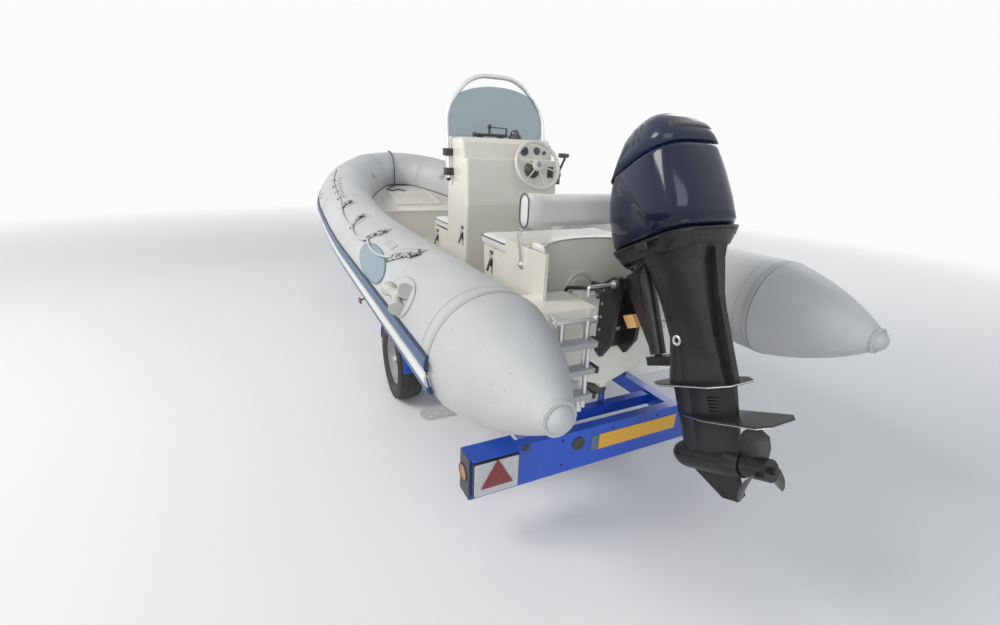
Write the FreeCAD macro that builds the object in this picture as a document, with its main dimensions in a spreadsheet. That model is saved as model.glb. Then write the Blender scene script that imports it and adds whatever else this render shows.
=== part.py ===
"""Inflatable rib boat with a tilted outboard motor, standing on its road trailer.

Millimetres. +X towards the bow, +Y to port, +Z up, ground at zero. Every piece is drawn with
the transom at x = 0 and is then moved by transom_x, so that the origin lies under the middle.
"""
import FreeCAD, Part
import Sketcher
import math
import os
import re

from FreeCAD import Placement, Rotation, Vector

SIZES = (
    # name, value, what it measures
    ("transom_x", -2375, "transom from the origin"),
    ("tube_radius", 240, "inflated tube, outside radius"),
    ("tube_y", 793, "centre of the straight tube from the middle"),
    ("tube_z", 1052, "centre of the straight tube above ground"),
    ("cone_seam_x", -322, "seam where each stern cone begins"),
    ("cone_length", 432, "seam to the cap ring"),
    ("cone_tip_radius", 50, "radius at the cap ring"),
    ("cap_depth", 44, "bulge of the cap behind its ring"),
    ("rise_start", 1500, "where the tubes begin to rise"),
    ("rise_radius", 7300, "radius of the upward bend"),
    ("rise_angle", 10, "slope of the forward tubes, degrees"),
    ("bow_reach", 1527, "length along the slope from bend to bow"),
    ("sweep_angle", 35, "turn of the side sweep, degrees"),
    ("seat_gap", 0.3, "clearance between pieces that seat on each other"),
    ("run_gap", 6, "clearance between pieces that move"),
    ("strake_thick", 16, "rub strake thickness"),
    ("strake_low", -24, "lower edge of the strake, degrees under the tube's side"),
    ("strake_high", 10, "upper edge of the strake, degrees over the tube's side"),
    ("keel_z", 629, "keel at the transom"),
    ("chine_y", 600, "chine from the middle"),
    ("chine_z", 835, "chine above ground"),
    ("floor_z", 870, "cockpit floor"),
    ("transom_thick", 50, "transom board"),
    ("transom_top", 1137, "top of the transom at the motor"),
    ("transom_half", 250, "half width of the raised part"),
    ("flat_top", 1122, "top of the quarter flats"),
    ("flat_aft", 150, "reach of the quarter flats behind the transom"),
    ("flat_thick", 40, "thickness of the quarter flats"),
    ("flat_inner", 215, "inner edge of the quarter flats"),
    ("locker_aft", 3000, "aft face of the bow locker"),
    ("locker_aft_z", 1130, "locker deck at its aft edge"),
    ("locker_fore_z", 1300, "locker deck at the bow"),
    ("locker_wall", 18, "locker moulding thickness"),
    ("locker_lid_length", 420, "bow locker lid, fore and aft"),
    ("locker_lid_width", 420, "bow locker lid, across"),
    ("lid_thick", 22, "hatch lid thickness"),
    ("hinge_radius", 5, "barrels of the lid hinges"),
    ("hinge_ahead", 7, "locker hinge ahead of its lid"),
    ("console_aft", 1130, "aft face of the console"),
    ("console_width", 660, "console across"),
    ("console_depth", 330, "console fore and aft at the floor"),
    ("console_seam_z", 1690, "shelf under the dash"),
    ("console_top_z", 1820, "top of the dash"),
    ("console_wall", 12, "console moulding thickness"),
    ("console_corner", 22, "rounding of the console's side edges"),
    ("helm_radius", 165, "steering wheel outside radius"),
    ("helm_grip", 13, "steering wheel rim thickness radius"),
    ("helm_y", -130, "steering wheel centre"),
    ("helm_drop", 155, "steering wheel centre under the top of the dash"),
    ("helm_rake", 22, "steering wheel leaning back, degrees"),
    ("helm_standoff", 105, "wheel hub behind the console"),
    ("hoop_tube", 15, "hoop tube radius"),
    ("hoop_bend", 250, "bend radius of the hoop"),
    ("hoop_rise", 385, "centre of the hoop's top over the dash"),
    ("hoop_grip", 260, "length of the hoop legs beside the console"),
    ("hoop_ahead", 210, "hoop legs ahead of the console's aft face"),
    ("screen_thick", 6, "windscreen acrylic"),
    ("seat_depth", 330, "front seat fore and aft"),
    ("seat_top_z", 1190, "front seat base"),
    ("seat_corner", 60, "front corners of that seat"),
    ("cushion_thick", 58, "cushion thickness"),
    ("bench_half", 400, "half width of the bench"),
    ("bench_fore", 690, "front of the bench base"),
    ("bench_aft", 0, "rear edge of the bench base at its sides"),
    ("bench_top_z", 1252, "bench base under the front cushion"),
    ("bench_rear_z", 1330, "bench base under the aft cushion"),
    ("bench_wall", 14, "bench moulding thickness"),
    ("bench_cushion_depth", 300, "front cushion fore and aft"),
    ("recess_radius", 400, "round recess for the motor"),
    ("recess_x", -110, "centre of that recess"),
    ("backrest_x", 245, "backrest centre"),
    ("backrest_z", 1487, "backrest centre above ground"),
    ("backrest_height", 165, "backrest pad height"),
    ("backrest_thick", 92, "backrest pad thickness"),
    ("arm_foot_x", 211, "pivot of the backrest arms"),
    ("arm_foot_z", 1240, "pivot of the backrest arms above ground"),
    ("pivot_x", -100, "motor tilt tube behind the transom"),
    ("pivot_z", 1200, "motor tilt tube above ground"),
    ("motor_tilt", 24, "tilt at rest, degrees"),
    ("tilt_tube_radius", 15, "tilt tube"),
    ("steer_x", -105, "steering axis behind the tilt tube, motor upright"),
    ("bracket_y", 62, "inner face of each clamp plate"),
    ("bracket_thick", 22, "clamp plate"),
    ("cowl_half", 195, "cowl half width"),
    ("cowl_seam", 132, "cowl seam above the tilt tube"),
    ("cowl_height", 466, "cowl seam to top"),
    ("cowl_wall", 9, "cowl moulding thickness"),
    ("cowl_corner", 92, "cowl corners in plan, at the seam"),
    ("cap_rise", 4, "step of the cowl's cap"),
    ("inlet_half", 72, "half width of the air inlet in the cap"),
    ("chock_low", -205, "wooden block under the tilt tube, motor upright"),
    ("chock_height", 60, "wooden block, height"),
    ("chock_depth", 62, "wooden block, fore and aft"),
    ("shaft_drop", 745, "propeller shaft under the tilt tube"),
    ("prop_radius", 145, "propeller blade tips"),
    ("skeg_drop", 892, "lower end of the skeg"),
    ("plate_drop", 575, "anti-ventilation plate"),
    ("splash_drop", 440, "splash plate"),
    ("grille_y", 36, "depth that the water inlet's slots reach, from the middle"),
    ("eye_radius", 16, "rings of the bow eye and towing eyes"),
    ("eye_rod", 5, "rod of those rings, radius"),
    ("tow_eye_y", 330, "towing eyes from the middle"),
    ("tow_eye_z", 930, "towing eyes above ground"),
    ("horn_x", 138, "mooring horns, from the transom"),
    ("horn_angle", 28, "mooring horns, degrees over the tube's side"),
    ("ladder_y", 350, "middle of the ladder"),
    ("ladder_width", 240, "ladder treads"),
    ("ladder_hinge_z", 1085, "ladder hinge"),
    ("ladder_hinge_x", -185, "ladder hinge behind the transom"),
    ("ladder_length", 440, "hinge to the ladder's end"),
    ("step_x", 370, "middle of each step plate"),
    ("step_y", 860, "outer end of each step plate"),
    ("axle_x", 1405, "wheel axle"),
    ("tyre_radius", 290, "tyre outside radius"),
    ("tyre_width", 155, "tyre width"),
    ("rim_radius", 178, "rim flange radius"),
    ("tyre_side", 70, "bulge radius of the tyre's side wall"),
    ("tyre_shoulder", 23, "bulge radius of the tyre's shoulder"),
    ("tyre_crown", 410, "radius across the tread"),
    ("wheel_y", 697, "wheel middle plane"),
    ("rail_y", 430, "frame rail centre"),
    ("rail_width", 60, "frame rail across"),
    ("rail_top", 470, "frame rails, upper face"),
    ("rail_height", 80, "frame rail height"),
    ("rail_aft", -40, "rear ends of the rails"),
    ("cross_aft", 60, "rearmost cross member"),
    ("cross_pitch", 920, "from one cross member to the next"),
    ("cross_width", 50, "cross member, fore and aft"),
    ("bend_x", 2900, "where the rails turn in"),
    ("nose_ahead", 40, "where the rails meet the drawbar, ahead of the winch post"),
    ("drawbar_reach", 1000, "front end of the drawbar ahead of the winch post"),
    ("drawbar_size", 80, "drawbar square section"),
    ("ball_reach", 80, "centre of the towing ball ahead of the drawbar"),
    ("ball_diameter", 50, "towing ball"),
    ("board_x", -119, "rear face of the light board"),
    ("board_low", 254, "light board lower edge"),
    ("board_high", 472, "light board upper edge"),
    ("board_half", 787, "light board half length"),
    ("lamp_width", 250, "lamp box across"),
    ("lamp_depth", 105, "lamp box fore and aft"),
    ("jockey_back", 330, "jockey wheel column behind the drawbar's end"),
    ("jockey_y", 96, "jockey column from the middle"),
    ("jockey_radius", 110, "jockey wheel radius"),
    ("jockey_width", 62, "jockey wheel width"),
    ("jockey_trail", 38, "jockey wheel axle behind its column"),
    ("post_ahead", 289, "winch post ahead of the bow tube's centre"),
    ("post_top_z", 1000, "winch post height"),
    ("snubber_radius", 40, "bow snubber roller"),
    ("drum_radius", 30, "winch drum"),
    ("strap_width", 44, "winch strap"),
    ("roller_radius", 42, "keel roller radius"),
    ("rope_radius", 5, "lifeline rope"),
    ("bow_line_radius", 6, "bow line"),
)

# Sizes that follow from others. The sheet takes angles in degrees.
FORMULAS = (
    ("track_spread", "sin(sweep_angle) * cos(sweep_angle) - (1 - cos(sweep_angle)) * (1 - sin(sweep_angle))",
     "helper of the two bend radii"),
    ("sweep_radius", "(bow_reach * cos(sweep_angle) - tube_y * (1 - sin(sweep_angle))) / track_spread",
     "side sweep of the tubes"),
    ("bow_radius", "(tube_y * sin(sweep_angle) - bow_reach * (1 - cos(sweep_angle))) / track_spread",
     "bend round the bow"),
    ("bow_x", "rise_start + rise_radius * sin(rise_angle) + bow_reach * cos(rise_angle)",
     "bow tube's centre ahead of the transom"),
    ("bow_z", "tube_z + rise_radius * (1 - cos(rise_angle)) + bow_reach * sin(rise_angle)",
     "bow tube's centre above ground"),
    ("helm_z", "console_top_z - helm_drop", "steering wheel centre above ground"),
    ("hoop_top_z", "console_top_z + hoop_rise", "centre of the hoop at its top"),
    ("hoop_foot_z", "console_top_z - hoop_grip", "lower end of the hoop legs"),
    ("hoop_x", "console_aft + hoop_ahead", "hoop legs, from the transom"),
    ("seat_aft", "console_aft + console_depth + seat_gap", "aft face of the front seat"),
    ("bench_step", "bench_fore - bench_cushion_depth", "step behind the bench cushion"),
    ("rail_low", "rail_top - rail_height", "frame rails, lower face"),
    ("post_x", "bow_x + post_ahead", "winch post, from the transom"),
    ("nose_x", "post_x + nose_ahead", "where the rails meet the drawbar"),
    ("drawbar_end", "post_x + drawbar_reach", "front end of the drawbar"),
    ("ball_x", "drawbar_end + ball_reach", "centre of the towing ball"),
    ("jockey_x", "drawbar_end - jockey_back", "jockey wheel column"),
)

# Route of the bow line from its ring on the bow tube down to the locker deck.
BOW_LINE = (
    (4275, 60, 1678), (4209, 60, 1680), (4088, 60, 1619), (4013, 62, 1503), (4008, 66, 1369),
    (3978, 75, 1304), (3905, 150, 1291), (3820, 205, 1277), (3750, 150, 1265), (3812, 85, 1276),
    (3760, 10, 1267),
)

doc = FreeCAD.newDocument("RibBoat")
sheet = doc.addObject("Spreadsheet::Sheet", "Sizes")
NAMES = set()
for row, (name, value, note) in enumerate(SIZES + FORMULAS, 1):
    sheet.set(f"A{row}", name)
    sheet.set(f"B{row}", f"={value}")
    sheet.set(f"C{row}", note)
    sheet.setAlias(f"B{row}", name)
    NAMES.add(name)
doc.recompute()


class Sheet:
    """Sizes read back from the sheet by name."""

    def __getattr__(self, name):
        return float(sheet.get(name))


at = Sheet()
NODES = []
X, Y, Z = Vector(1, 0, 0), Vector(0, 1, 0), Vector(0, 0, 1)


def rad(degrees):
    return math.radians(degrees)


def bound(text):
    """An expression on the sheet, written with the bare names of its sizes."""
    return re.sub(r"[a-z][a-z0-9_]*", lambda word: f"Sizes.{word[0]}" if word[0] in NAMES else word[0], text)


def number(text):
    """What such an expression comes to."""
    return float(sheet.evalExpression(bound(text)))


def tie(obj, path, text):
    """Let a property follow the sheet."""
    obj.setExpression(path, bound(text))


def keep(obj, label, place=("0", "0", "0")):
    """Name a finished piece and put it where three expressions from the transom say."""
    obj.Label = label
    for axis, text in zip("xyz", place):
        tie(obj, f"Placement.Base.{axis}", f"transom_x + {text}" if axis == "x" else text)
    NODES.append(obj)
    return obj


def keep_leaning(obj, label):
    """Keep a piece that is drawn in the motor's own frame, leaning by the rest tilt."""
    obj.Placement = Placement(Vector(0, 0, 0), Rotation(Y, at.motor_tilt))
    tie(obj, "Placement.Rotation.Angle", "motor_tilt")
    return keep(obj, label, ("pivot_x", "0", "pivot_z"))


def feature(label, shape, turned=None):
    """A piece that no primitive or sketch gives, its shape built here from the sheet's sizes."""
    obj = doc.addObject("Part::Feature", label)
    obj.Shape = shape
    turned = turned or Placement()
    obj.Placement = turned
    spot = turned.Base
    return keep(obj, label, (f"{spot.x:.6f}", f"{spot.y:.6f}", f"{spot.z:.6f}"))


def sunk(label, shape):
    """A plain solid that other features are cut with. It isn't a piece."""
    obj = doc.addObject("Part::Feature", label)
    obj.Shape = shape
    return obj


def new_body(label):
    return doc.addObject("PartDesign::Body", f"{label}_body")


def origin_item(body, role):
    return [item for item in body.Origin.OriginFeatures if item.Role == role][0]


def outline(body, plane, corners, bulges=None):
    """Closed sketch on an origin plane, every corner held by a pair of expressions.

    bulges gives the radius of each side that is an arc, by the number of its first corner.
    """
    bulges = bulges or {}
    drawing = body.newObject("Sketcher::SketchObject", "Outline")
    drawing.AttachmentSupport = (origin_item(body, plane), [""])
    drawing.MapMode = "FlatFace"
    spots = [Vector(number(x), number(y), 0) for x, y in corners]
    last = len(spots)
    for side, (start, end) in enumerate(zip(spots, spots[1:] + spots[:1])):
        if side in bulges:
            radius, chord = number(bulges[side]), end - start
            height = radius - math.sqrt(radius ** 2 - (chord.Length / 2) ** 2)
            outward = Vector(chord.y, -chord.x, 0).normalize()
            drawing.addGeometry(Part.Arc(start, (start + end) / 2 + outward * height, end))
        else:
            drawing.addGeometry(Part.LineSegment(start, end))
    for side in range(last):
        drawing.addConstraint(Sketcher.Constraint("Coincident", side, 2, (side + 1) % last, 1))
    for side, corner in enumerate(corners):
        for kind, text in zip(("DistanceX", "DistanceY"), corner):
            row = drawing.addConstraint(Sketcher.Constraint(kind, -1, 1, side, 1, number(text)))
            tie(drawing, f"Constraints[{row}]", text)
    for side, text in bulges.items():
        row = drawing.addConstraint(Sketcher.Constraint("Radius", side, number(text)))
        tie(drawing, f"Constraints[{row}]", text)
    return drawing


def push(body, kind, drawing, length):
    """Pad or Pocket of a sketch, half of its length to each side."""
    step = body.newObject(f"PartDesign::{kind}", kind)
    step.Profile = drawing
    step.SideType = "Symmetric"
    tie(step, "Length", length)
    return step


def brick(body, kind, low, high):
    """Additive or Subtractive box of a body, between two corners of expressions."""
    block = body.newObject(f"PartDesign::{kind}Box", f"{kind}Box")
    set_box(block, low, high)
    return block


def set_box(block, low, high):
    for side, axis, near, far in zip(("Length", "Width", "Height"), "xyz", low, high):
        tie(block, side, f"({far}) - ({near})")
        tie(block, f"Placement.Base.{axis}", near)


TURNS = {"x": Rotation(Vector(0, 1, 0), 90), "y": Rotation(Vector(1, 0, 0), -90), "z": Rotation()}


def bar(body, kind, way, start, length, radius):
    """Additive or Subtractive cylinder of a body, along one axis from a corner of expressions."""
    tube = body.newObject(f"PartDesign::{kind}Cylinder", f"{kind}Cylinder")
    set_bar(tube, way, start, length, radius)
    return tube


def set_bar(tube, way, start, length, radius):
    tube.Placement = Placement(Vector(0, 0, 0), TURNS[way])
    tie(tube, "Radius", radius)
    tie(tube, "Height", length)
    for axis, text in zip("xyz", start):
        tie(tube, f"Placement.Base.{axis}", text)


def round_off(body, base, radius, wanted):
    """Fillet of those edges of a body's last feature whose middles a test picks."""
    doc.recompute()
    names = [f"Edge{index}" for index, edge in enumerate(base.Shape.Edges, 1) if wanted(edge.CenterOfMass)]
    soft = body.newObject("PartDesign::Fillet", "Fillet")
    soft.Base = (base, names)
    tie(soft, "Radius", radius)
    return soft


def repeat_round(body, original, axis, count):
    """The same feature again and again round an origin axis."""
    ring = body.newObject("PartDesign::PolarPattern", "PolarPattern")
    ring.Originals = [original]
    ring.Axis = (origin_item(body, axis), [""])
    ring.Angle = 360
    ring.Occurrences = count
    body.Tip = ring
    return ring


def twin(item):
    """Its image on the other side of the boat."""
    other = doc.addObject("Part::Mirroring", f"{item.Name}_twin")
    other.Source = item
    other.Normal = Y
    return other


def keep_twin(item, label):
    """Keep the image of a piece that is kept already."""
    other = twin(item)
    other.Label = label
    NODES.append(other)


def gathered(label, items):
    group = doc.addObject("Part::Compound", label)
    group.Links = items
    return group


def taken(label, base, tool):
    """One object cut with another."""
    rest = doc.addObject("Part::Cut", label)
    rest.Base = base
    rest.Tool = tool
    return rest


def fused(shapes):
    result = shapes[0]
    if len(shapes) > 1:
        result = result.multiFuse(shapes[1:])
    return result.removeSplitter()


def box(low, high):
    return Part.makeBox(high[0] - low[0], high[1] - low[1], high[2] - low[2], Vector(*low))


def rod(start, end, radius):
    start, end = Vector(*start), Vector(*end)
    return Part.makeCylinder(radius, (end - start).Length, start, end - start)


def prism(points, push):
    """A straight prism: an outline of 3D points pushed along a vector."""
    points = [Vector(*point) for point in points]
    return Part.Face(Part.makePolygon(points + points[:1])).extrude(Vector(*push))


def rounded(points, radius, z):
    """Closed outline at one height, each corner rounded to the same radius."""
    points = [Vector(x, y, z) for x, y in points]
    arcs = []
    for before, corner, after in zip(points[-1:] + points[:-1], points, points[1:] + points[:1]):
        come = (before - corner).normalize()
        leave = (after - corner).normalize()
        half = come.getAngle(leave) / 2
        inward = (come + leave).normalize()
        cut = radius / math.tan(half)
        centre = corner + inward * (radius / math.sin(half))
        arcs.append((corner + come * cut, centre - inward * radius, corner + leave * cut))
    edges = []
    for arc, after in zip(arcs, arcs[1:] + arcs[:1]):
        edges.append(Part.Arc(*arc).toShape())
        edges.append(Part.LineSegment(arc[2], after[0]).toShape())
    return Part.Wire(edges)


def mirrored(shape):
    return shape.mirror(Vector(0, 0, 0), Y)


def pair(shape):
    """The port piece and its starboard twin."""
    return Part.makeCompound([shape, mirrored(shape)])


def bent_tube(points, radius, bend):
    """A round bar through points, with the corners rounded to one bend radius."""
    points = [Vector(*point) for point in points]
    edges = []
    last = points[0]
    for before, corner, after in zip(points, points[1:], points[2:]):
        come = (corner - before).normalize()
        leave = (after - corner).normalize()
        half = come.getAngle(leave) / 2
        cut = bend * math.tan(half)
        enter, out = corner - come * cut, corner + leave * cut
        inward = (leave - come).normalize()
        centre = corner + inward * (bend / math.cos(half))
        edges.append(Part.LineSegment(last, enter).toShape())
        edges.append(Part.Arc(enter, centre - inward * bend, out).toShape())
        last = out
    edges.append(Part.LineSegment(last, points[-1]).toShape())
    path = Part.Wire(edges)
    ring = Part.Wire(Part.makeCircle(radius, points[0], points[1] - points[0]))
    return path.makePipeShell([ring], True, False)


# Tube track: a straight run, an upward bend, a side sweep and half of the bow bend.
# The sweep and the bow lie in one plane that slopes up. Their radii follow from the reach
# and from the half beam that they have to close.
slope = rad(at.rise_angle)
sweep = rad(at.sweep_angle)
bend_end = Vector(at.rise_start + at.rise_radius * math.sin(slope), at.tube_y,
                  at.tube_z + at.rise_radius * (1 - math.cos(slope)))
ahead = Vector(math.cos(slope), 0, math.sin(slope))
plane_up = Vector(-math.sin(slope), 0, math.cos(slope))
sweep_centre = bend_end - Y * at.sweep_radius


def swept(radius, turn):
    """Point at a turn from straight ahead on a circle in the sloping plane, about its centre."""
    return ahead * radius * math.sin(turn) + Y * radius * math.cos(turn)


sweep_end = sweep_centre + swept(at.sweep_radius, sweep)
bow_centre = sweep_end - swept(at.bow_radius, sweep)


def carry(profile, first=0, last=3):
    """Sweep an upright face, drawn at the seam, along stretches first to last of the track."""
    run = X * (at.rise_start - at.cone_seam_x)
    rise_axis = Vector(at.rise_start, 0, at.tube_z + at.rise_radius)
    turns = ((rise_axis, Y * -1, at.rise_angle), (sweep_centre, plane_up * -1, at.sweep_angle),
             (bow_centre, plane_up * -1, 2 * (90 - at.sweep_angle)))
    solids = []
    face = profile.copy()
    if first == 0:
        solids.append(face.extrude(run))
    face.translate(run)
    for step, (centre, axis, angle) in enumerate(turns, 1):
        if first <= step <= last:
            solids.append(face.revolve(centre, axis, angle))
        face.rotate(centre, axis, angle)
    return fused(solids)


def disc(radius):
    centre = Vector(at.cone_seam_x, at.tube_y, at.tube_z)
    return Part.Face(Part.Wire(Part.makeCircle(radius, centre, X)))


def band(inner, outer, low, high):
    """Part of a ring round the tube between two angles, 0 at the outboard side, 90 on top."""
    def spot(radius, angle):
        return Vector(at.cone_seam_x, at.tube_y + radius * math.cos(rad(angle)),
                      at.tube_z + radius * math.sin(rad(angle)))
    middle = (low + high) / 2
    edges = [Part.Arc(spot(outer, low), spot(outer, middle), spot(outer, high)).toShape(),
             Part.LineSegment(spot(outer, high), spot(inner, high)).toShape(),
             Part.Arc(spot(inner, high), spot(inner, middle), spot(inner, low)).toShape(),
             Part.LineSegment(spot(inner, low), spot(outer, low)).toShape()]
    return Part.Face(Part.Wire(edges))


def track_point(along):
    """Centre of the port tube at a share of the side sweep, 0 to 1."""
    return sweep_centre + swept(at.sweep_radius, sweep * along)


# The stem is the keel line of the last stretch of hull, from the late station to the bow end.
late = track_point(0.84)
stem_low = Vector(late.x, 0, at.keel_z + 280)
stem_high = Vector(at.bow_x - 95, 0, at.bow_z - 268)
stem_way = (stem_high - stem_low).normalize()
stem_out = Vector(stem_way.z, 0, -stem_way.x)
stem_lean = math.degrees(math.atan2(stem_way.x, stem_way.z))
bow_eye = stem_low + stem_way * ((stem_high - stem_low).Length - 60)

port_tube = carry(disc(at.tube_radius), 0, 2)
bow_tube = carry(disc(at.tube_radius), 3, 3)
tube_room = carry(disc(at.tube_radius + at.seat_gap), 0, 3)
tube_room = tube_room.fuse(mirrored(carry(disc(at.tube_radius + at.seat_gap), 0, 2)))
tube_tool = sunk("tube_room", tube_room)


def make_tubes():
    keep_twin(feature("port_tube", port_tube), "starboard_tube")
    feature("bow_tube", bow_tube)
    # Stern cone: an inflated ogive down to a small round cap.
    seam, tip = at.cone_seam_x, at.cone_seam_x - at.cone_length
    waist = Vector((seam + tip) / 2 - 20, 0, at.tube_radius * 0.70 + at.cone_tip_radius * 0.30)
    centre = Vector(0, 0, 0)
    button = at.cone_tip_radius * 0.2
    profile = Part.Wire([
        Part.Arc(Vector(seam, 0, at.tube_radius), waist, Vector(tip, 0, at.cone_tip_radius)).toShape(),
        Part.Arc(Vector(tip, 0, at.cone_tip_radius),
                 Vector(tip - at.cap_depth * 0.72, 0, at.cone_tip_radius * 0.68),
                 Vector(tip - at.cap_depth, 0, button)).toShape(),
        Part.LineSegment(Vector(tip - at.cap_depth, 0, button), Vector(tip - at.cap_depth, 0, 0)).toShape(),
        Part.LineSegment(Vector(tip - at.cap_depth, 0, 0), Vector(seam, 0, 0)).toShape(),
        Part.LineSegment(Vector(seam, 0, 0), Vector(seam, 0, at.tube_radius)).toShape()])
    cone = Part.Face(profile).revolve(centre, X, 360)
    cone.translate(Vector(0, at.tube_y, at.tube_z))
    feature("stern_cones", pair(cone))


def make_strakes():
    """Rub strake: a broad flat band with a raised rib above and a lip below."""
    seat = at.tube_radius + at.seat_gap
    ribs = (
        # inner share, outer share of the thickness, lower angle, upper angle
        (0.0, 0.55, at.strake_low, at.strake_high),
        (0.3, 1.0, at.strake_high - 9, at.strake_high - 6),
        (0.3, 1.0, at.strake_high - 3, at.strake_high),
        (0.3, 1.0, at.strake_low, at.strake_low + 3),
    )
    strakes = []
    for first, last in ((0, 2), (3, 3)):
        parts = [carry(band(seat + at.strake_thick * low, seat + at.strake_thick * high, a, b),
                       first, last) for low, high, a, b in ribs]
        strakes.append(fused(parts))
    side, bow = strakes
    feature("rub_strakes", Part.makeCompound([side, mirrored(side), bow]))


def section(x, keel, chine, edge, inset=0):
    """Closed five-point hull section at one station: keel, chines and deck edges."""
    keel += inset * 1.5
    chine = (chine[0] - inset * 0.8, chine[1] + inset)
    edge = (edge[0] - inset * 0.6, edge[1] + inset * 3)
    points = [Vector(x, 0, keel), Vector(x, chine[0], chine[1]), Vector(x, edge[0], edge[1]),
              Vector(x, -edge[0], edge[1]), Vector(x, -chine[0], chine[1])]
    return Part.makePolygon(points + points[:1])


def hull_stations():
    reach = at.tube_radius * 0.67
    drop = at.tube_radius * 0.76
    half = track_point(0.52)
    return (
        # station, keel, chine, deck edge
        (0, at.keel_z, (at.chine_y, at.chine_z), (at.tube_y - reach, at.tube_z - drop)),
        (at.rise_start, at.keel_z, (at.chine_y, at.chine_z), (at.tube_y - reach, at.tube_z - drop)),
        (bend_end.x, at.keel_z + 12, (at.chine_y, at.chine_z + 92),
         (bend_end.y - reach, bend_end.z - drop)),
        (half.x, at.keel_z + 90, (half.y - 225, half.z - 250), (half.y - reach, half.z - drop)),
        (late.x, stem_low.z, (late.y - 240, late.z - 235), (late.y - 170, late.z - 170)),
        (stem_high.x, stem_high.z, (48, at.bow_z - 232), (60, at.bow_z - 205)),
    )


def hull_sections(inset=0):
    stations = hull_stations()
    if inset:
        stations = stations[:-1]
    return [section(*station, inset) for station in stations]


def over_hull():
    """Everything over the hull's deck edge, between its two sides."""
    rings = []
    for x, keel, chine, (half, edge) in hull_stations():
        low, high = edge - 1, edge + at.tube_radius * 3
        corners = [Vector(x, half, low), Vector(x, half, high), Vector(x, -half, high), Vector(x, -half, low)]
        rings.append(Part.makePolygon(corners + corners[:1]))
    return Part.makeLoft(rings, True, True)


def make_hull():
    hull = Part.makeLoft(hull_sections(), True, True)
    cockpit = Part.makeLoft(hull_sections(30), True, True)
    cockpit = cockpit.common(box((at.transom_thick + 60, -at.tube_y, at.floor_z),
                                 (at.locker_aft + 640, at.tube_y, at.tube_z + 600)))
    hull = hull.cut(cockpit).cut(tube_room)
    # Keel strip and one spray rail each side.
    rails = [box((0, -18, at.keel_z - 14), (at.rise_start + 900, 18, at.keel_z + 16))]
    rise = (at.chine_z - at.keel_z) / at.chine_y
    for side in (1, -1):
        y = side * at.chine_y * 0.55
        z = at.keel_z + abs(y) * rise
        rails.append(prism([(0, y, z + 6), (0, y + side * 26, z + 6 + 26 * rise),
                            (0, y + side * 26, z - 10)], (at.rise_start + 600, 0, 0)))
    hull = fused([hull] + rails)
    feature("hull", hull)
    # Transom board with its raised middle, cut to the tubes beside it.
    board = new_body("transom")
    brick(board, "Additive", ("0", "-tube_y", "floor_z"),
          ("transom_thick", "tube_y", "flat_top - flat_thick - seat_gap"))
    brick(board, "Additive", ("0", "40 - transom_half", "floor_z"),
          ("transom_thick", "transom_half - 40", "transom_top"))
    keep(taken("transom", board, tube_tool), "transom")


def make_stern_flats():
    """Quarter flats: two deck pads beside the motor, their outer edges against the tubes."""
    pad = new_body("quarter_flat")
    brick(pad, "Additive", ("-flat_aft", "flat_inner", "flat_top - flat_thick"),
          ("transom_thick + 60", "tube_y", "flat_top"))
    brick(pad, "Additive", ("-flat_aft", "flat_inner", "flat_top - flat_thick - 40"),
          ("16 - flat_aft", "tube_y", "flat_top - flat_thick"))
    port = taken("port_flat", pad, tube_tool)
    keep(gathered("quarter_flats", [port, twin(port)]), "quarter_flats")


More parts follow.
